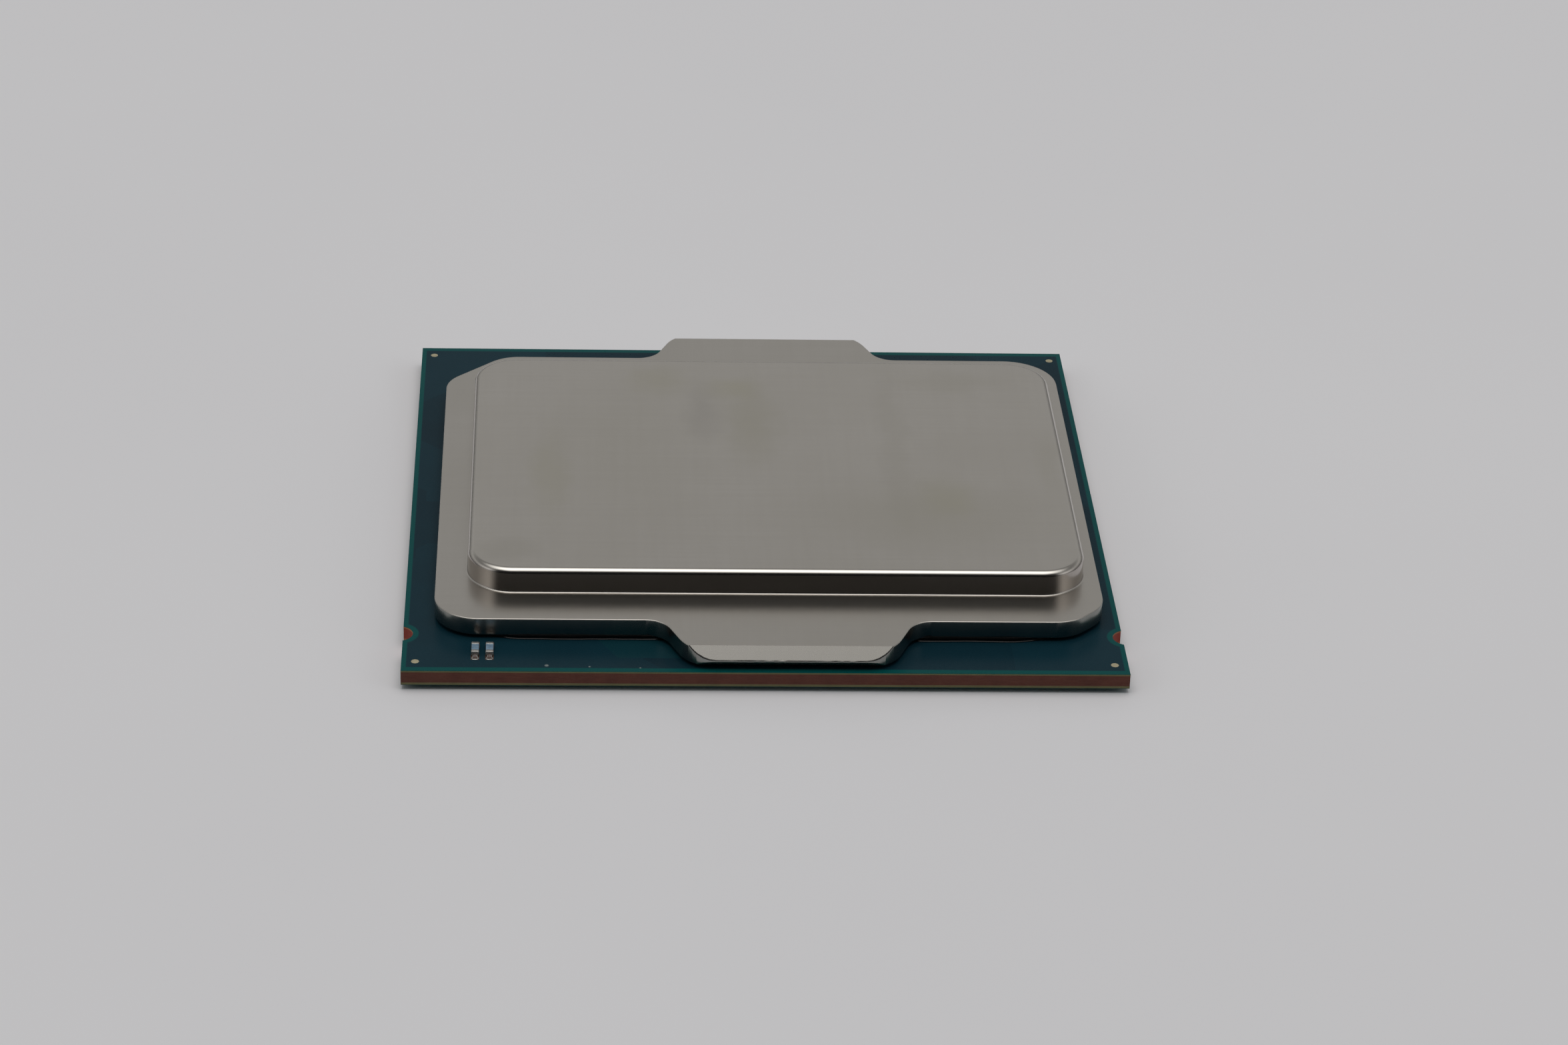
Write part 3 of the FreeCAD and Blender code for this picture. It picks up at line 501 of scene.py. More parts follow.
def solder_height(kind, across, along):
    """The solder's height at a place on its pad: across is -1 to 1, along is 0 at the terminal
    and 1 at the toe. It climbs the terminal in a hollow curve and has a raised rim round the
    pad."""
    border = max(abs(across), along) ** 6
    climb = kind["climb"] * (1 - along) ** 3 * (1 - 0.35 * across ** 2)
    rim = RIM_HIGH * math.exp(-((max(abs(across), along) - RIM_SHARE) / RIM_WIDTH) ** 2)
    return (SOLDER_THIN + climb + rim) * (1 - border)


def solder_width(along):
    """The joint's width as a share of its pad's: a neck at the terminal, a flare, then a toe that
    narrows again."""
    flare = min(1.0, max(0.0, (along - FLARE_START) / FLARE_LONG))
    toe = max(0.0, (along - TOE_START) / TOE_LONG)
    widening = FLARE_WIDER * flare ** 2 * (3 - 2 * flare)
    return NECK_WIDTH + widening - TOE_NARROWER * toe ** 2


def add_solder(mesh, kind, x, y, end):
    """One solder joint: a closed cushion over the pad, drawn up against the terminal's end."""
    half = kind["pad_width"] / 2
    start = y + end * (kind["length"] / 2 - SOLDER_UNDER)
    reach = kind["pad_past"] + SOLDER_UNDER
    grid = []
    for row in range(SOLDER_ROWS + 1):
        along = row / SOLDER_ROWS
        line = []
        for column in range(SOLDER_COLUMNS + 1):
            across = 2 * column / SOLDER_COLUMNS - 1
            bow = reach * along * (1 - 0.16 * along * across ** 4)
            height = SOLDER_FILM * 0.3 + solder_height(kind, across, along)
            at_x = x + half * solder_width(along) * across
            line.append(mesh.verts.new((at_x, start + end * bow, height)))
        grid.append(line)
    for row, (low, high) in enumerate(zip(grid, grid[1:])):
        for index in range(SOLDER_COLUMNS):
            face = mesh.faces.new((low[index], low[index + 1], high[index + 1], high[index]))
            across = 2 * (index + 0.5) / SOLDER_COLUMNS - 1
            in_middle = abs(across) < FLUX_ACROSS and (row + 0.5) / SOLDER_ROWS < FLUX_ALONG
            face.material_index = int(in_middle)
    border = grid[0] + [line[-1] for line in grid[1:]] + grid[-1][-2::-1]
    border += [line[0] for line in grid[-2:0:-1]]
    under = [mesh.verts.new((v.co.x, v.co.y, 0.0)) for v in border]
    join_rings(mesh, [border, under])
    mesh.faces.new(under)


def make_capacitors(prefix, kind, places, face_z, flipped, materials):
    """The bodies, terminals and solder of one set of capacitors, each as one piece."""
    parts = {"bodies": bmesh.new(), "terminals": bmesh.new(), "solder": bmesh.new()}
    half_length = kind["length"] / 2
    half_width = kind["width"] / 2
    top = SOLDER_FILM + kind["height"]
    skin = TERMINAL_SKIN
    inner = half_length - kind["terminal"] + TERMINAL_LAP
    for x, y in places:
        add_rounded_block(parts["bodies"], (x - half_width + skin, y - inner, SOLDER_FILM + skin),
                          (x + half_width - skin, y + inner, top - skin), BODY_ROUND, 2)
        for end in (-1, 1):
            ends = sorted((y + end * half_length, y + end * (half_length - kind["terminal"])))
            add_rounded_block(parts["terminals"], (x - half_width, ends[0], SOLDER_FILM),
                              (x + half_width, ends[1], top), TERMINAL_ROUND, 4)
            add_solder(parts["solder"], kind, x, y, end)
    for word, mesh in parts.items():
        if flipped:
            turn = Matrix.Rotation(math.pi, 4, "X")
            bmesh.ops.transform(mesh, matrix=turn, verts=mesh.verts)
        bmesh.ops.translate(mesh, vec=(0, 0, face_z), verts=mesh.verts)
        node = "%s_capacitor_%s" % (prefix, word)
        item = finish_mesh(mesh, node + "_detail")
        material, slot = materials[word]
        place(item, material, slot, node)
        if word == "solder":
            item.data.materials.append(flux)


# ---------------------------------------------------------------- materials


def new_material(name):
    """An empty material with a principled shader, and the shader."""
    material = bpy.data.materials.new(name)
    material.use_nodes = True
    return material, material.node_tree, material.node_tree.nodes["Principled BSDF"]


def add(tree, kind, inputs=None, **settings):
    """Add a shader node, with its settings and with values or links for its inputs."""
    item = tree.nodes.new("ShaderNode" + kind)
    for key, value in settings.items():
        setattr(item, key, value)
    for key, value in (inputs or {}).items():
        if isinstance(value, bpy.types.NodeSocket):
            tree.links.new(value, item.inputs[key])
        else:
            item.inputs[key].default_value = value
    return item


def place_mm(tree, stretch=(1.0, 1.0, 1.0)):
    """A surface point's place in millimetres, stretched along each axis."""
    source = add(tree, "TexCoord").outputs["Object"]
    scale = [factor / MM for factor in stretch]
    return add(tree, "VectorMath", {0: source, 1: scale}, operation="MULTIPLY").outputs[0]


def grain(tree, where, scale, detail=3.0, rough=0.55):
    """Noise from 0 to 1, its scale in waves per millimetre."""
    inputs = {"Vector": where, "Scale": scale, "Detail": detail, "Roughness": rough}
    return add(tree, "TexNoise", inputs).outputs["Fac"]


def math_node(tree, operation, first, second=0.0, third=None, clamp=False):
    """The result of a sum or function of up to three values."""
    inputs = {0: first, 1: second}
    if third is not None:
        inputs[2] = third
    return add(tree, "Math", inputs, operation=operation, use_clamp=clamp).outputs[0]


def remap(tree, value, low, high, to_low=0.0, to_high=1.0, smooth=False):
    """A value carried from one range to another, and kept inside it."""
    inputs = {"Value": value, "From Min": low, "From Max": high,
              "To Min": to_low, "To Max": to_high}
    kind = "SMOOTHSTEP" if smooth else "LINEAR"
    return add(tree, "MapRange", inputs, interpolation_type=kind, clamp=True).outputs["Result"]


def blend(tree, share, first, second):
    """A colour between two others."""
    mixer = add(tree, "Mix", data_type="RGBA", clamp_factor=True)
    for index, value in ((0, share), (6, first), (7, second)):
        socket = mixer.inputs[index]
        if isinstance(value, bpy.types.NodeSocket):
            tree.links.new(value, socket)
        elif isinstance(value, tuple):
            socket.default_value = (*value, 1.0)
        else:
            socket.default_value = value
    return mixer.outputs[2]


def bump(tree, shader, height, strength, distance_mm, under=None):
    """Relief on a surface, its full height in millimetres."""
    inputs = {"Height": height, "Strength": strength, "Distance": distance_mm * MM}
    if under is not None:
        inputs["Normal"] = under
    tree.links.new(add(tree, "Bump", inputs).outputs["Normal"], shader.inputs["Normal"])


def link(tree, value, socket):
    """Carry a value to a socket."""
    tree.links.new(value, socket)


# Faint marks of handling on the raised face: x, y, radius along X and Y, how dark, how olive.
MARKS = (
    (-7.2, 1.0, 4.6, 8.0, 0.17, 0.11),
    (-11.2, -1.5, 1.1, 5.0, 0.14, 0.34),
    (-2.8, 5.8, 1.1, 3.8, 0.52, 0.00),
    (0.0, 4.6, 1.5, 4.8, 0.35, 0.34),
    (-5.2, 9.8, 1.8, 1.8, 0.17, 0.38),
    (-1.0, 8.8, 1.8, 1.3, 0.06, 0.45),
    (7.8, 1.5, 0.8, 11.0, 0.23, 0.08),
    (9.2, -6.2, 6.6, 3.6, 0.29, 0.19),
    (10.2, -4.2, 1.6, 2.4, 0.12, 0.38),
    (11.5, 9.8, 3.2, 1.3, 0.23, 0.15),
    (-13.4, -10.4, 2.0, 1.4, 0.38, 0.11),
    (16.2, 0.0, 0.9, 3.5, 0.20, 0.15),
)
# How far a mark's outline wanders, in these waves per millimetre, and the shares of its radius
# where it fades in and is at its strongest.
MARK_WANDER = 1.8
MARK_WAVES = 0.5
MARK_OUTER = 1.45
MARK_INNER = 0.10


def vector_node(tree, operation, first, second):
    """The result of a sum or product of two vectors."""
    return add(tree, "VectorMath", {0: first, 1: second}, operation=operation).outputs[0]


def handling_marks(tree, where):
    """How dark and how olive the marks are, each mark a soft blot with a wandering edge."""
    waves = {"Vector": where, "Scale": MARK_WAVES, "Detail": 3.0}
    wander = add(tree, "TexNoise", waves).outputs["Color"]
    shift = vector_node(tree, "SUBTRACT", wander, (0.5, 0.5, 0.5))
    shift = add(tree, "VectorMath", {0: shift, "Scale": MARK_WANDER}, operation="SCALE").outputs[0]
    moved = vector_node(tree, "ADD", where, shift)
    dark, olive = 0.0, 0.0
    for x, y, radius_x, radius_y, darker, greener in MARKS:
        centred = vector_node(tree, "SUBTRACT", moved, (x, y, 0))
        scaled = vector_node(tree, "MULTIPLY", centred, (1 / radius_x, 1 / radius_y, 0))
        far = add(tree, "VectorMath", {0: scaled}, operation="LENGTH").outputs["Value"]
        blot = remap(tree, far, MARK_OUTER, MARK_INNER, smooth=True)
        dark = math_node(tree, "MULTIPLY_ADD", blot, darker, dark)
        olive = math_node(tree, "MULTIPLY_ADD", blot, greener, olive)
    return dark, olive


def upright_share(tree):
    """1 on upright surfaces and 0 on level ones."""
    normal = add(tree, "TexCoord").outputs["Normal"]
    level = math_node(tree, "ABSOLUTE", add(tree, "SeparateXYZ", {0: normal}).outputs[2])
    return remap(tree, level, 0.80, 0.35)


NICKEL_LIGHT = (0.645, 0.612, 0.560)
NICKEL_DARK = (0.620, 0.587, 0.532)
NICKEL_STREAK = (0.600, 0.568, 0.514)
NICKEL_MARK = (0.535, 0.505, 0.460)
NICKEL_OLIVE = (0.575, 0.545, 0.430)
# Painted shade on the upright walls: darker copies of the plating colour, darkest on the rim's
# wall.
NICKEL_RIM_WALL_SHADE = (0.270, 0.275, 0.260)
NICKEL_FACE_WALL_SHADE = (0.450, 0.415, 0.385)
# How rough the plating is, and how much its grain, its marks and the rim's lower level add.
NICKEL_ROUGH = 0.23
SAND_ROUGHER = 0.005
MARK_ROUGHER = 0.02
RIM_ROUGHER = 0.05
FACE_WALL_ROUGH = 0.17
RIM_WALL_ROUGH = 0.24


def nickel():
    """Satin nickel plating on stamped copper: fine grain, faint rolling marks, a few stains. The
    raised face's wall was drawn over the stamping tool and is smoother, and the rim's was sheared.
    Both walls carry painted shade: darker copies of the plating colour, darkest on the rim's wall."""
    material, tree, shader = new_material("nickel_plate")
    where = place_mm(tree)
    cloud = grain(tree, where, 0.16, 3.0)
    sand = grain(tree, where, 11.0, 2.0)
    rolled = grain(tree, place_mm(tree, (0.10, 5.0, 1.0)), 1.0, 4.0, 0.7)
    across = grain(tree, place_mm(tree, (1.6, 0.06, 1.0)), 1.0, 4.0, 0.7)
    dark, olive = handling_marks(tree, where)
    upright = upright_share(tree)

    tone = blend(tree, remap(tree, cloud, 0.35, 0.68), NICKEL_LIGHT, NICKEL_DARK)
    streak = math_node(tree, "ADD", rolled, across)
    tone = blend(tree, remap(tree, streak, 0.85, 1.25, 0.0, 0.5), tone, NICKEL_STREAK)
    tone = blend(tree, dark, tone, NICKEL_MARK)
    tone = blend(tree, olive, tone, NICKEL_OLIVE)
    height = add(tree, "SeparateXYZ", {0: where}).outputs[2]
    raised = remap(tree, height, RIM_TOP - 0.02, RIM_TOP)
    # Painted shade: upright walls take darker copies of the plating colour, darkest on the rim's
    # sheared wall.
    shaded_walls = blend(tree, raised, NICKEL_RIM_WALL_SHADE, NICKEL_FACE_WALL_SHADE)
    tone = blend(tree, upright, tone, shaded_walls)
    link(tree, tone, shader.inputs["Base Color"])
    shader.inputs["Metallic"].default_value = 1.0

    gloss = remap(tree, sand, 0.3, 0.7, NICKEL_ROUGH - SAND_ROUGHER, NICKEL_ROUGH + SAND_ROUGHER)
    low_down = remap(tree, height, FACE_TOP - 0.10, RIM_TOP + 0.10, 0.0, RIM_ROUGHER)
    gloss = math_node(tree, "ADD", gloss, low_down)
    gloss = math_node(tree, "MULTIPLY_ADD", dark, MARK_ROUGHER, gloss)
    wall = remap(tree, raised, 0.0, 1.0, RIM_WALL_ROUGH, FACE_WALL_ROUGH)
    gloss = remap(tree, upright, 0.0, 1.0, gloss, wall)
    link(tree, gloss, shader.inputs["Roughness"])

    relief = remap(tree, upright, 0.0, 1.0, 0.02, 0.005)
    lines = {"Height": streak, "Strength": 0.02, "Distance": 0.003 * MM}
    under = add(tree, "Bump", lines).outputs["Normal"]
    bump(tree, shader, sand, relief, 0.003, under)
    return material


MASK_FIELD = (0.0058, 0.0270, 0.0400)
MASK_FIELD_LIGHT = (0.0070, 0.0400, 0.0570)
MASK_BORDER = (0.0010, 0.0850, 0.0830)
MASK_PATCH = (0.0062, 0.0400, 0.0520)
MASK_FLECK = (0.24, 0.27, 0.26)
MASK_SPECULAR = 0.08
MARGIN_SOFT = 0.03
# The paler patch's edges: the slanting left one is where X + PATCH_SLANT * Y + PATCH_LEFT is 0.
PATCH_SLANT = 0.537
PATCH_LEFT = 17.016
PATCH_RIGHT = -4.0
PATCH_FRONT = -17.40
PATCH_BACK = -14.6
PATCH_SOFT = 0.12
# The flecks: x, y and radius.
FLECKS = ((-11.3, -18.15, 0.13), (-9.1, -18.25, 0.07), (-6.5, -18.35, 0.06), (-7.3, -15.3, 0.06))


def notch_distance(tree, where):
    """How far a place is from the middle of the nearer keying notch, in millimetres."""
    split = add(tree, "SeparateXYZ", {0: where})
    far_x = math_node(tree, "ABSOLUTE", split.outputs[0])
    folded = add(tree, "CombineXYZ", {0: far_x, 1: split.outputs[1]}).outputs[0]
    middle = (NOTCH_X, NOTCH_Y, 0)
    return add(tree, "VectorMath", {0: folded, 1: middle}, operation="DISTANCE").outputs["Value"]


def border_mask(tree, where):
    """1 on the strip without copper along the board's edges and round its notches, else 0."""
    split = add(tree, "SeparateXYZ", {0: where})
    far_x = math_node(tree, "ABSOLUTE", split.outputs[0])
    far_y = math_node(tree, "ABSOLUTE", split.outputs[1])
    side = BOARD_HALF - SIDE_MARGIN
    front = BOARD_HALF - FRONT_MARGIN
    strip = math_node(tree, "MAXIMUM",
                      remap(tree, far_x, side - MARGIN_SOFT, side + MARGIN_SOFT),
                      remap(tree, far_y, front - MARGIN_SOFT, front + MARGIN_SOFT))
    reach = NOTCH_RADIUS + NOTCH_MARGIN
    ring = remap(tree, notch_distance(tree, where), reach + MARGIN_SOFT, reach - MARGIN_SOFT)
    return math_node(tree, "MAXIMUM", strip, ring)


def bare_patch(tree, where):
    """1 on the paler patch beside the front tab, where there is no copper, else 0."""
    split = add(tree, "SeparateXYZ", {0: where})
    x, y = split.outputs[0], split.outputs[1]
    left = math_node(tree, "MULTIPLY_ADD", y, PATCH_SLANT, PATCH_LEFT)
    inside = remap(tree, math_node(tree, "ADD", x, left), 0.0, PATCH_SOFT)
    for value, edge, inwards in ((x, PATCH_RIGHT, -1), (y, PATCH_FRONT, 1), (y, PATCH_BACK, -1)):
        within = remap(tree, value, edge, edge + inwards * PATCH_SOFT)
        inside = math_node(tree, "MULTIPLY", inside, within)
    return inside


def flecks(tree, where):
    """1 on a few tiny pale flecks on the mask at the front, else 0."""
    flat = vector_node(tree, "MULTIPLY", where, (1, 1, 0))
    share = 0.0
    for x, y, size in FLECKS:
        ends = {0: flat, 1: (x, y, 0)}
        far = add(tree, "VectorMath", ends, operation="DISTANCE").outputs["Value"]
        share = math_node(tree, "ADD", share, remap(tree, far, size, 0.5 * size), clamp=True)
    return share


def solder_mask():
    """Dark teal solder mask, brighter on the strip without copper, with faint copper shapes, a
    paler patch and a few flecks."""
    material, tree, shader = new_material("solder_mask")
    where = place_mm(tree)
    cloud = grain(tree, where, 0.28, 3.0)
    speck = grain(tree, where, 9.0, 2.0)
    blocks = add(tree, "TexVoronoi", {"Vector": where, "Scale": 0.16, "Randomness": 0.8},
                 feature="F1", distance="CHEBYCHEV").outputs["Color"]
    tint = add(tree, "SeparateColor", {0: blocks}).outputs[0]
    patch = remap(tree, tint, 0.62, 0.66, 0.0, 0.45)
    share = math_node(tree, "MULTIPLY_ADD", remap(tree, cloud, 0.35, 0.7), 0.35, patch, clamp=True)
    field = blend(tree, share, MASK_FIELD, MASK_FIELD_LIGHT)
    field = blend(tree, bare_patch(tree, where), field, MASK_PATCH)
    colour = blend(tree, border_mask(tree, where), field, MASK_BORDER)
    colour = blend(tree, flecks(tree, where), colour, MASK_FLECK)
    link(tree, colour, shader.inputs["Base Color"])
    shader.inputs["Specular IOR Level"].default_value = MASK_SPECULAR
    gloss = remap(tree, speck, 0.3, 0.7, 0.26, 0.36)
    link(tree, gloss, shader.inputs["Roughness"])
    bump(tree, shader, speck, 0.15, 0.004)
    return material


# A drilled cut is this many times as red as the rest, this deep round the notch.
DRILLED_RED = 2
DRILLED_DEEP = 0.05


def laminate(name, base, fibre, scale, streak=0.55):
    """A glass-fibre laminate: resin with darker and lighter threads along its layers. Its cut is
    fresher, and so redder, round the drilled notches."""
    material, tree, shader = new_material(name)
    threads = grain(tree, place_mm(tree, (0.8, 0.8, 12.0)), scale, 5.0, 0.7)
    blotch = grain(tree, place_mm(tree), 0.9, 3.0)
    weave = grain(tree, place_mm(tree, (5.0, 5.0, 9.0)), scale, 3.0)
    share = math_node(tree, "MULTIPLY_ADD", remap(tree, threads, 0.35, 0.68), streak,
                      remap(tree, blotch, 0.4, 0.7, 0.0, 0.35), clamp=True)
    colour = blend(tree, share, base, fibre)
    from_notch = notch_distance(tree, place_mm(tree))
    drilled = remap(tree, from_notch, NOTCH_RADIUS + 2 * DRILLED_DEEP, NOTCH_RADIUS + DRILLED_DEEP)
    colour = blend(tree, drilled, colour, (DRILLED_RED * base[0], base[1], base[2]))
    link(tree, colour, shader.inputs["Base Color"])
    gloss = remap(tree, weave, 0.3, 0.7, 0.55, 0.8)
    link(tree, gloss, shader.inputs["Roughness"])
    shader.inputs["Specular IOR Level"].default_value = 0.3
    bump(tree, shader, weave, 0.35, 0.012)
    return material


def metal(name, light, dark, rough, scale, relief=0.2):
    """A plain metal finish with a fine mottle in colour and gloss."""
    material, tree, shader = new_material(name)
    where = place_mm(tree)
    cloud = grain(tree, where, scale, 4.0)
    fine = grain(tree, where, scale * 6, 3.0)
    tone = blend(tree, remap(tree, cloud, 0.35, 0.68), light, dark)
    link(tree, tone, shader.inputs["Base Color"])
    shader.inputs["Metallic"].default_value = 1.0
    link(tree, remap(tree, fine, 0.3, 0.7, rough - 0.05, rough + 0.07), shader.inputs["Roughness"])
    bump(tree, shader, fine, relief, 0.004)
    return material


def plain(name, light, dark, rough, scale, relief, specular=0.5):
    """A dull or glossy non-metal with a fine mottle."""
    material, tree, shader = new_material(name)
    where = place_mm(tree)
    cloud = grain(tree, where, scale, 4.0)
    fine = grain(tree, where, scale * 5, 3.0)
    tone = blend(tree, remap(tree, cloud, 0.35, 0.68), light, dark)
    link(tree, tone, shader.inputs["Base Color"])
    link(tree, remap(tree, fine, 0.3, 0.7, rough - 0.04, rough + 0.05), shader.inputs["Roughness"])
    shader.inputs["Specular IOR Level"].default_value = specular
    bump(tree, shader, fine, relief, 0.006)
    return material


GOLD_LIGHT = (0.83, 0.60, 0.27)
GOLD_DARK = (0.72, 0.49, 0.20)


def gold_lands():
    """Gold plate on the contact lands, with the fine scrub marks of a socket's contacts."""
    material, tree, shader = new_material("gold_plate")
    where = place_mm(tree)
    cloud = grain(tree, where, 0.5, 3.0)
    scrub = grain(tree, place_mm(tree, (3.0, 22.0, 1.0)), 1.0, 4.0)
    tone = blend(tree, remap(tree, cloud, 0.35, 0.7), GOLD_LIGHT, GOLD_DARK)
    link(tree, tone, shader.inputs["Base Color"])
    shader.inputs["Metallic"].default_value = 1.0
    link(tree, remap(tree, scrub, 0.3, 0.7, 0.22, 0.42), shader.inputs["Roughness"])
    bump(tree, shader, scrub, 0.25, 0.003)
    return material


SOLDER_LIGHT = (0.50, 0.49, 0.46)
SOLDER_DARK = (0.36, 0.33, 0.30)


def solder_finish():
    """Reflowed solder, bright and slightly mottled."""
    material, tree, shader = new_material("solder")
    where = place_mm(tree)
    cloud = grain(tree, where, 3.0, 3.0)
    tone = blend(tree, remap(tree, cloud, 0.4, 0.65), SOLDER_LIGHT, SOLDER_DARK)
    link(tree, tone, shader.inputs["Base Color"])
    shader.inputs["Metallic"].default_value = 1.0
    link(tree, remap(tree, cloud, 0.3, 0.7, 0.28, 0.40), shader.inputs["Roughness"])
    bump(tree, shader, cloud, 0.2, 0.006)
    return material


FLOOR_LIGHT = (0.935, 0.926, 0.938)
FLOOR_DARK = (0.910, 0.901, 0.915)


def floor_finish():
    """A pale matt table with hardly any texture."""
    material, tree, shader = new_material("pale_floor")
    where = place_mm(tree)
    cloud = grain(tree, where, 0.012, 4.0)
    fine = grain(tree, where, 1.2, 3.0)
    tone = blend(tree, remap(tree, cloud, 0.3, 0.7), FLOOR_LIGHT, FLOOR_DARK)
    link(tree, tone, shader.inputs["Base Color"])
    shader.inputs["Roughness"].default_value = 0.65
    shader.inputs["Specular IOR Level"].default_value = 0.2
    bump(tree, shader, fine, 0.05, 0.05)
    return material


# ---------------------------------------------------------------- the object

nickel_plate = nickel()
mask = solder_mask()
tin = metal("tin_terminal", (0.56, 0.55, 0.52), (0.46, 0.44, 0.41), 0.46, 4.0)
solder = solder_finish()
flux = plain("solder_flux", (0.100, 0.052, 0.036), (0.060, 0.030, 0.022), 0.30, 5.0, 0.3)
blue_ceramic = plain("capacitor_blue", (0.215, 0.330, 0.430), (0.150, 0.245, 0.340),
                     0.42, 6.0, 0.3)
brown_ceramic = plain("capacitor_brown", (0.210, 0.125, 0.070), (0.150, 0.085, 0.045),
                      0.42, 6.0, 0.3)
copper = metal("copper", (0.83, 0.43, 0.27), (0.66, 0.32, 0.19), 0.34, 2.0)
gold = gold_lands()
pale_gold = metal("gold_plate_thin", (0.70, 0.64, 0.44), (0.60, 0.54, 0.37), 0.50, 3.0, 0.3)
core = laminate("core_laminate", (0.150, 0.051, 0.033), (0.085, 0.026, 0.018), 1.4)
dielectric = laminate("dielectric", (0.195, 0.180, 0.085), (0.120, 0.108, 0.050), 1.8, 0.4)
silicon = metal("silicon", (0.30, 0.31, 0.34), (0.24, 0.25, 0.28), 0.18, 0.5, 0.05)
underfill = plain("underfill", (0.030, 0.032, 0.040), (0.016, 0.017, 0.022), 0.30, 1.5, 0.3)
interface = metal("thermal_interface", (0.66, 0.66, 0.68), (0.52, 0.52, 0.55), 0.40, 1.5)
sealant = plain("sealant", (0.0070, 0.0070, 0.0075), (0.0040, 0.0040, 0.0045), 0.16, 0.8, 0.25)

FINISHES = {
    "solder_mask_upper": mask, "solder_mask_lower": mask,
    "buildup_upper": dielectric, "buildup_lower": dielectric, "core_laminate": core,
    "core_vias": copper, "power_plane": copper, "ground_plane": copper, "surface_copper": copper,
    "die_pads": copper, "microvias": copper, "fiducial_marks": pale_gold, "contact_lands": gold,
    "front_capacitor_pads": flux, "land_capacitor_pads": flux,
    "front_capacitor_bodies": blue_ceramic, "land_capacitor_bodies": brown_ceramic,
    "front_capacitor_terminals": tin, "land_capacitor_terminals": tin,
    "front_capacitor_solder": solder, "land_capacitor_solder": solder,
    "solder_bumps": solder, "silicon_die": silicon, "underfill": underfill,
    "thermal_interface": interface, "lid_sealant": sealant, "heat_spreader": nickel_plate,
}
for name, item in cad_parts.items():
    item.data.materials.clear()
    item.data.materials.append(FINISHES[name])

place(make_heat_spreader(), nickel_plate, "nickel_plate", "heat_spreader")
place(make_sealant(), sealant, "sealant", "lid_sealant")
metals = {"terminals": (tin, "tin_terminal"), "solder": (solder, "solder")}
front = dict(metals, bodies=(blue_ceramic, "capacitor_blue"))
under = dict(metals, bodies=(brown_ceramic, "capacitor_brown"))
make_capacitors("front", FRONT_CAPACITOR, FRONT_PAIR, BOARD_TOP, False, front)
land_places = [(x, y) for x in LAND_COLUMNS for y in LAND_ROWS]
make_capacitors("land", LAND_CAPACITOR, land_places, BOARD_UNDER, True, under)


# ---------------------------------------------------------------- the floor and the light

# Half the side of the table, in metres, and how many squares it has along each side.
FLOOR_HALF = 1.3
FLOOR_CELLS = 8

# Where the surroundings' tone changes, as shares of the half turn from the front to the back.
AROUND = ((0.00, 0.010), (0.24, 0.015), (0.35, 1.00), (0.43, 0.80), (0.56, 0.46), (1.00, 0.46))
# How much of the overhead light is seen, at shares of the quarter turn from level to overhead.
UPWARDS = ((0.00, 0.0), (0.56, 0.0), (0.66, 0.36), (0.82, 0.80), (1.00, 1.0))
# The surroundings' tone at shares of the same quarter turn: they are brightest in a band.
BAND = ((0.00, 0.12), (0.20, 0.70), (0.30, 1.0), (0.40, 0.50), (0.52, 0.30), (1.00, 0.30))
# How bright the overhead light is, where the surroundings' white is 1.
OVERHEAD = 2.55


def make_floor():
    """The table that the processor lies on."""
    mesh = bmesh.new()
    bmesh.ops.create_grid(mesh, x_segments=FLOOR_CELLS, y_segments=FLOOR_CELLS,
                          size=FLOOR_HALF / MM)
    floor = finish_mesh(mesh, "floor", weighted=False)
    floor.data.materials.append(floor_finish())


def ramp(tree, share, stops):
    """Greys at places from 0 to 1."""
    item = add(tree, "ValToRGB", {"Fac": share})
    elements = item.color_ramp.elements
    elements[0].position, elements[1].position = stops[0][0], stops[-1][0]
    for place_at, tone in stops[1:-1]:
        elements.new(place_at)
    for element, (place_at, tone) in zip(elements, stops):
        element.color = (tone, tone, tone, 1.0)
    return item.outputs["Color"]


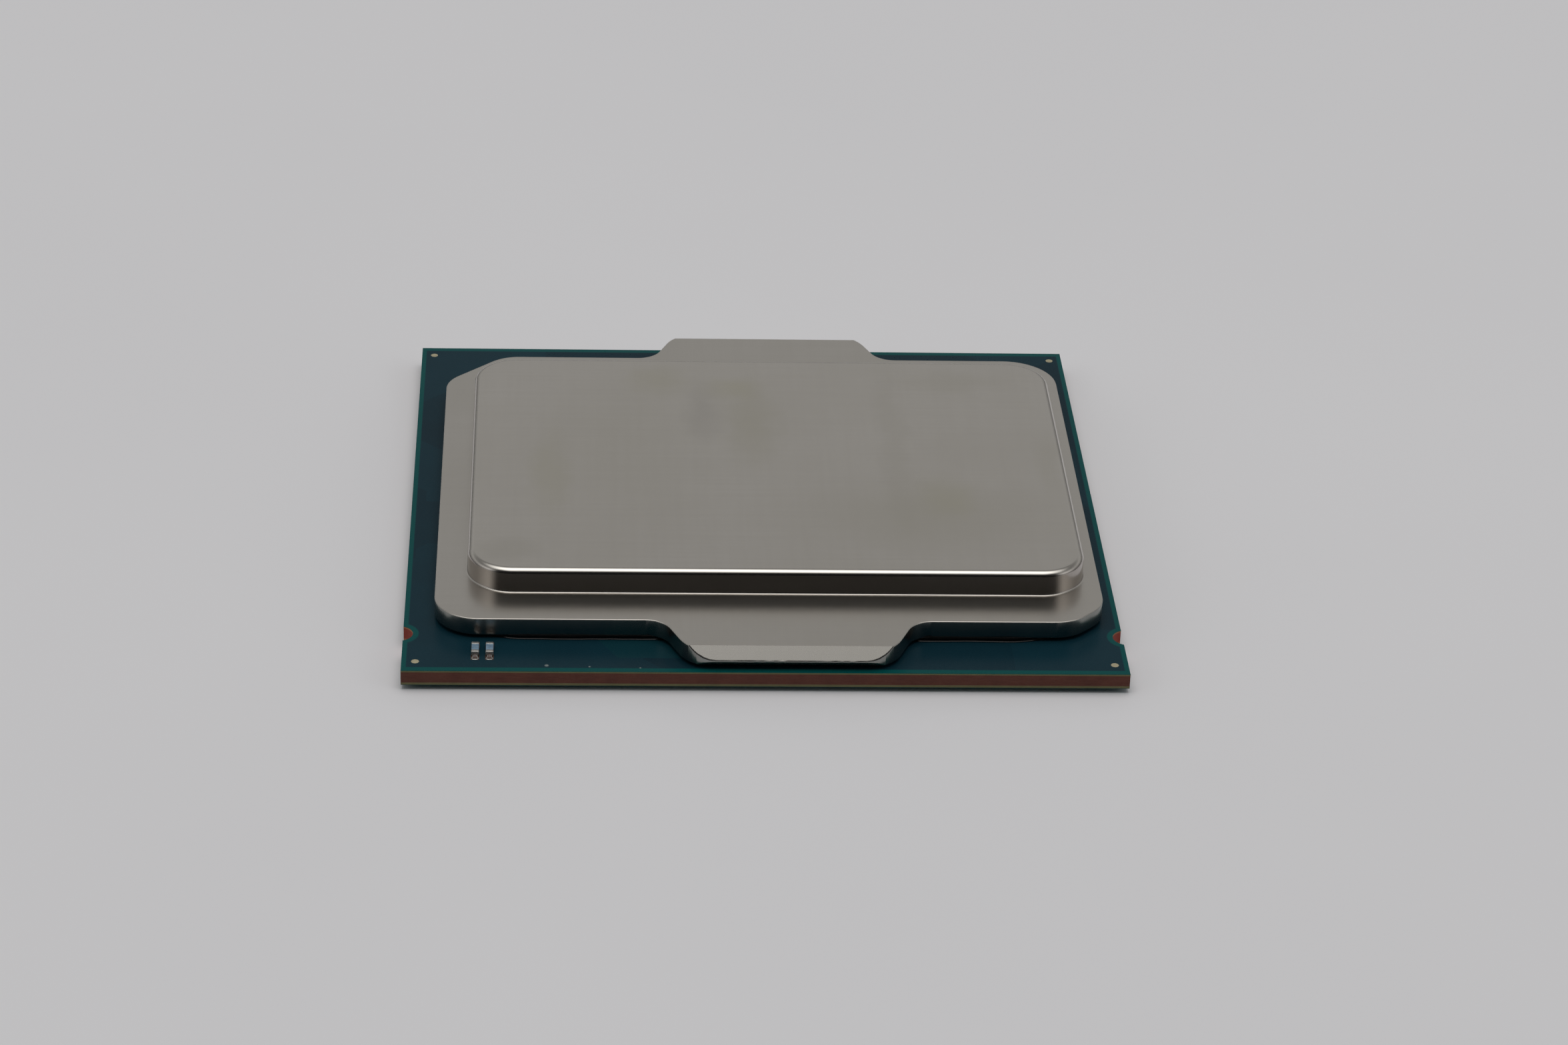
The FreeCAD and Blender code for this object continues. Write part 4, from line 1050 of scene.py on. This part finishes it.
def make_world():
    """Soft studio surroundings: a bright ceiling, bright sides, grey behind and dark in front."""
    world = bpy.data.worlds.new("studio")
    bpy.context.scene.world = world
    world.use_nodes = True
    tree = world.node_tree
    background = tree.nodes["Background"]
    direction = add(tree, "TexCoord").outputs["Generated"]
    split = add(tree, "SeparateXYZ", {0: direction})
    ahead = math_node(tree, "MULTIPLY", split.outputs[1], -1.0)
    turn = math_node(tree, "ABSOLUTE", math_node(tree, "ARCTAN2", split.outputs[0], ahead))
    turn = math_node(tree, "DIVIDE", turn, math.pi)
    climb = math_node(tree, "DIVIDE", math_node(tree, "ARCSINE", split.outputs[2]), math.pi / 2)
    level = vector_node(tree, "MULTIPLY", ramp(tree, turn, AROUND), ramp(tree, climb, BAND))
    share = ramp(tree, climb, UPWARDS)
    tone = blend(tree, share, level, (1.0, 1.0, 1.0))
    scaled = add(tree, "Mix", data_type="FLOAT", clamp_factor=True)
    link(tree, share, scaled.inputs[0])
    scaled.inputs[2].default_value = 1.0
    scaled.inputs[3].default_value = OVERHEAD
    link(tree, tone, background.inputs["Color"])
    link(tree, scaled.outputs[0], background.inputs["Strength"])


# ---------------------------------------------------------------- the camera

# The point it looks at, how far away it is, its angles in degrees, and its lens.
CAMERA_AIM = (1.554, -2.503, 1.13)
CAMERA_FAR = 238.171
CAMERA_AZIMUTH = -3.387
CAMERA_ELEVATION = 28.272
CAMERA_ROLL = 2.020
CAMERA_LENS = 100.17
CAMERA_SENSOR = 36
# Nothing nearer or farther than this is seen, in metres.
CAMERA_NEAREST = 0.01
CAMERA_FARTHEST = 10


def make_camera():
    """A long lens in front of the processor, looking down at it."""
    camera = bpy.data.objects.new("camera", bpy.data.cameras.new("camera"))
    bpy.context.scene.collection.objects.link(camera)
    azimuth = math.radians(CAMERA_AZIMUTH)
    elevation = math.radians(CAMERA_ELEVATION)
    back = Vector((math.sin(azimuth) * math.cos(elevation),
                   -math.cos(azimuth) * math.cos(elevation), math.sin(elevation)))
    right = Vector((0, 0, 1)).cross(back).normalized()
    up = back.cross(right)
    level = Matrix((right, up, back)).transposed().to_4x4()
    roll = Matrix.Rotation(math.radians(CAMERA_ROLL), 4, "Z")
    place_at = (Vector(CAMERA_AIM) + back * CAMERA_FAR) * MM
    camera.matrix_world = Matrix.Translation(place_at) @ level @ roll
    camera.data.lens = CAMERA_LENS
    camera.data.sensor_width = CAMERA_SENSOR
    camera.data.clip_start = CAMERA_NEAREST
    camera.data.clip_end = CAMERA_FARTHEST
    bpy.context.scene.camera = camera


make_floor()
make_world()
make_camera()
bpy.context.scene.view_settings.view_transform = "Standard"
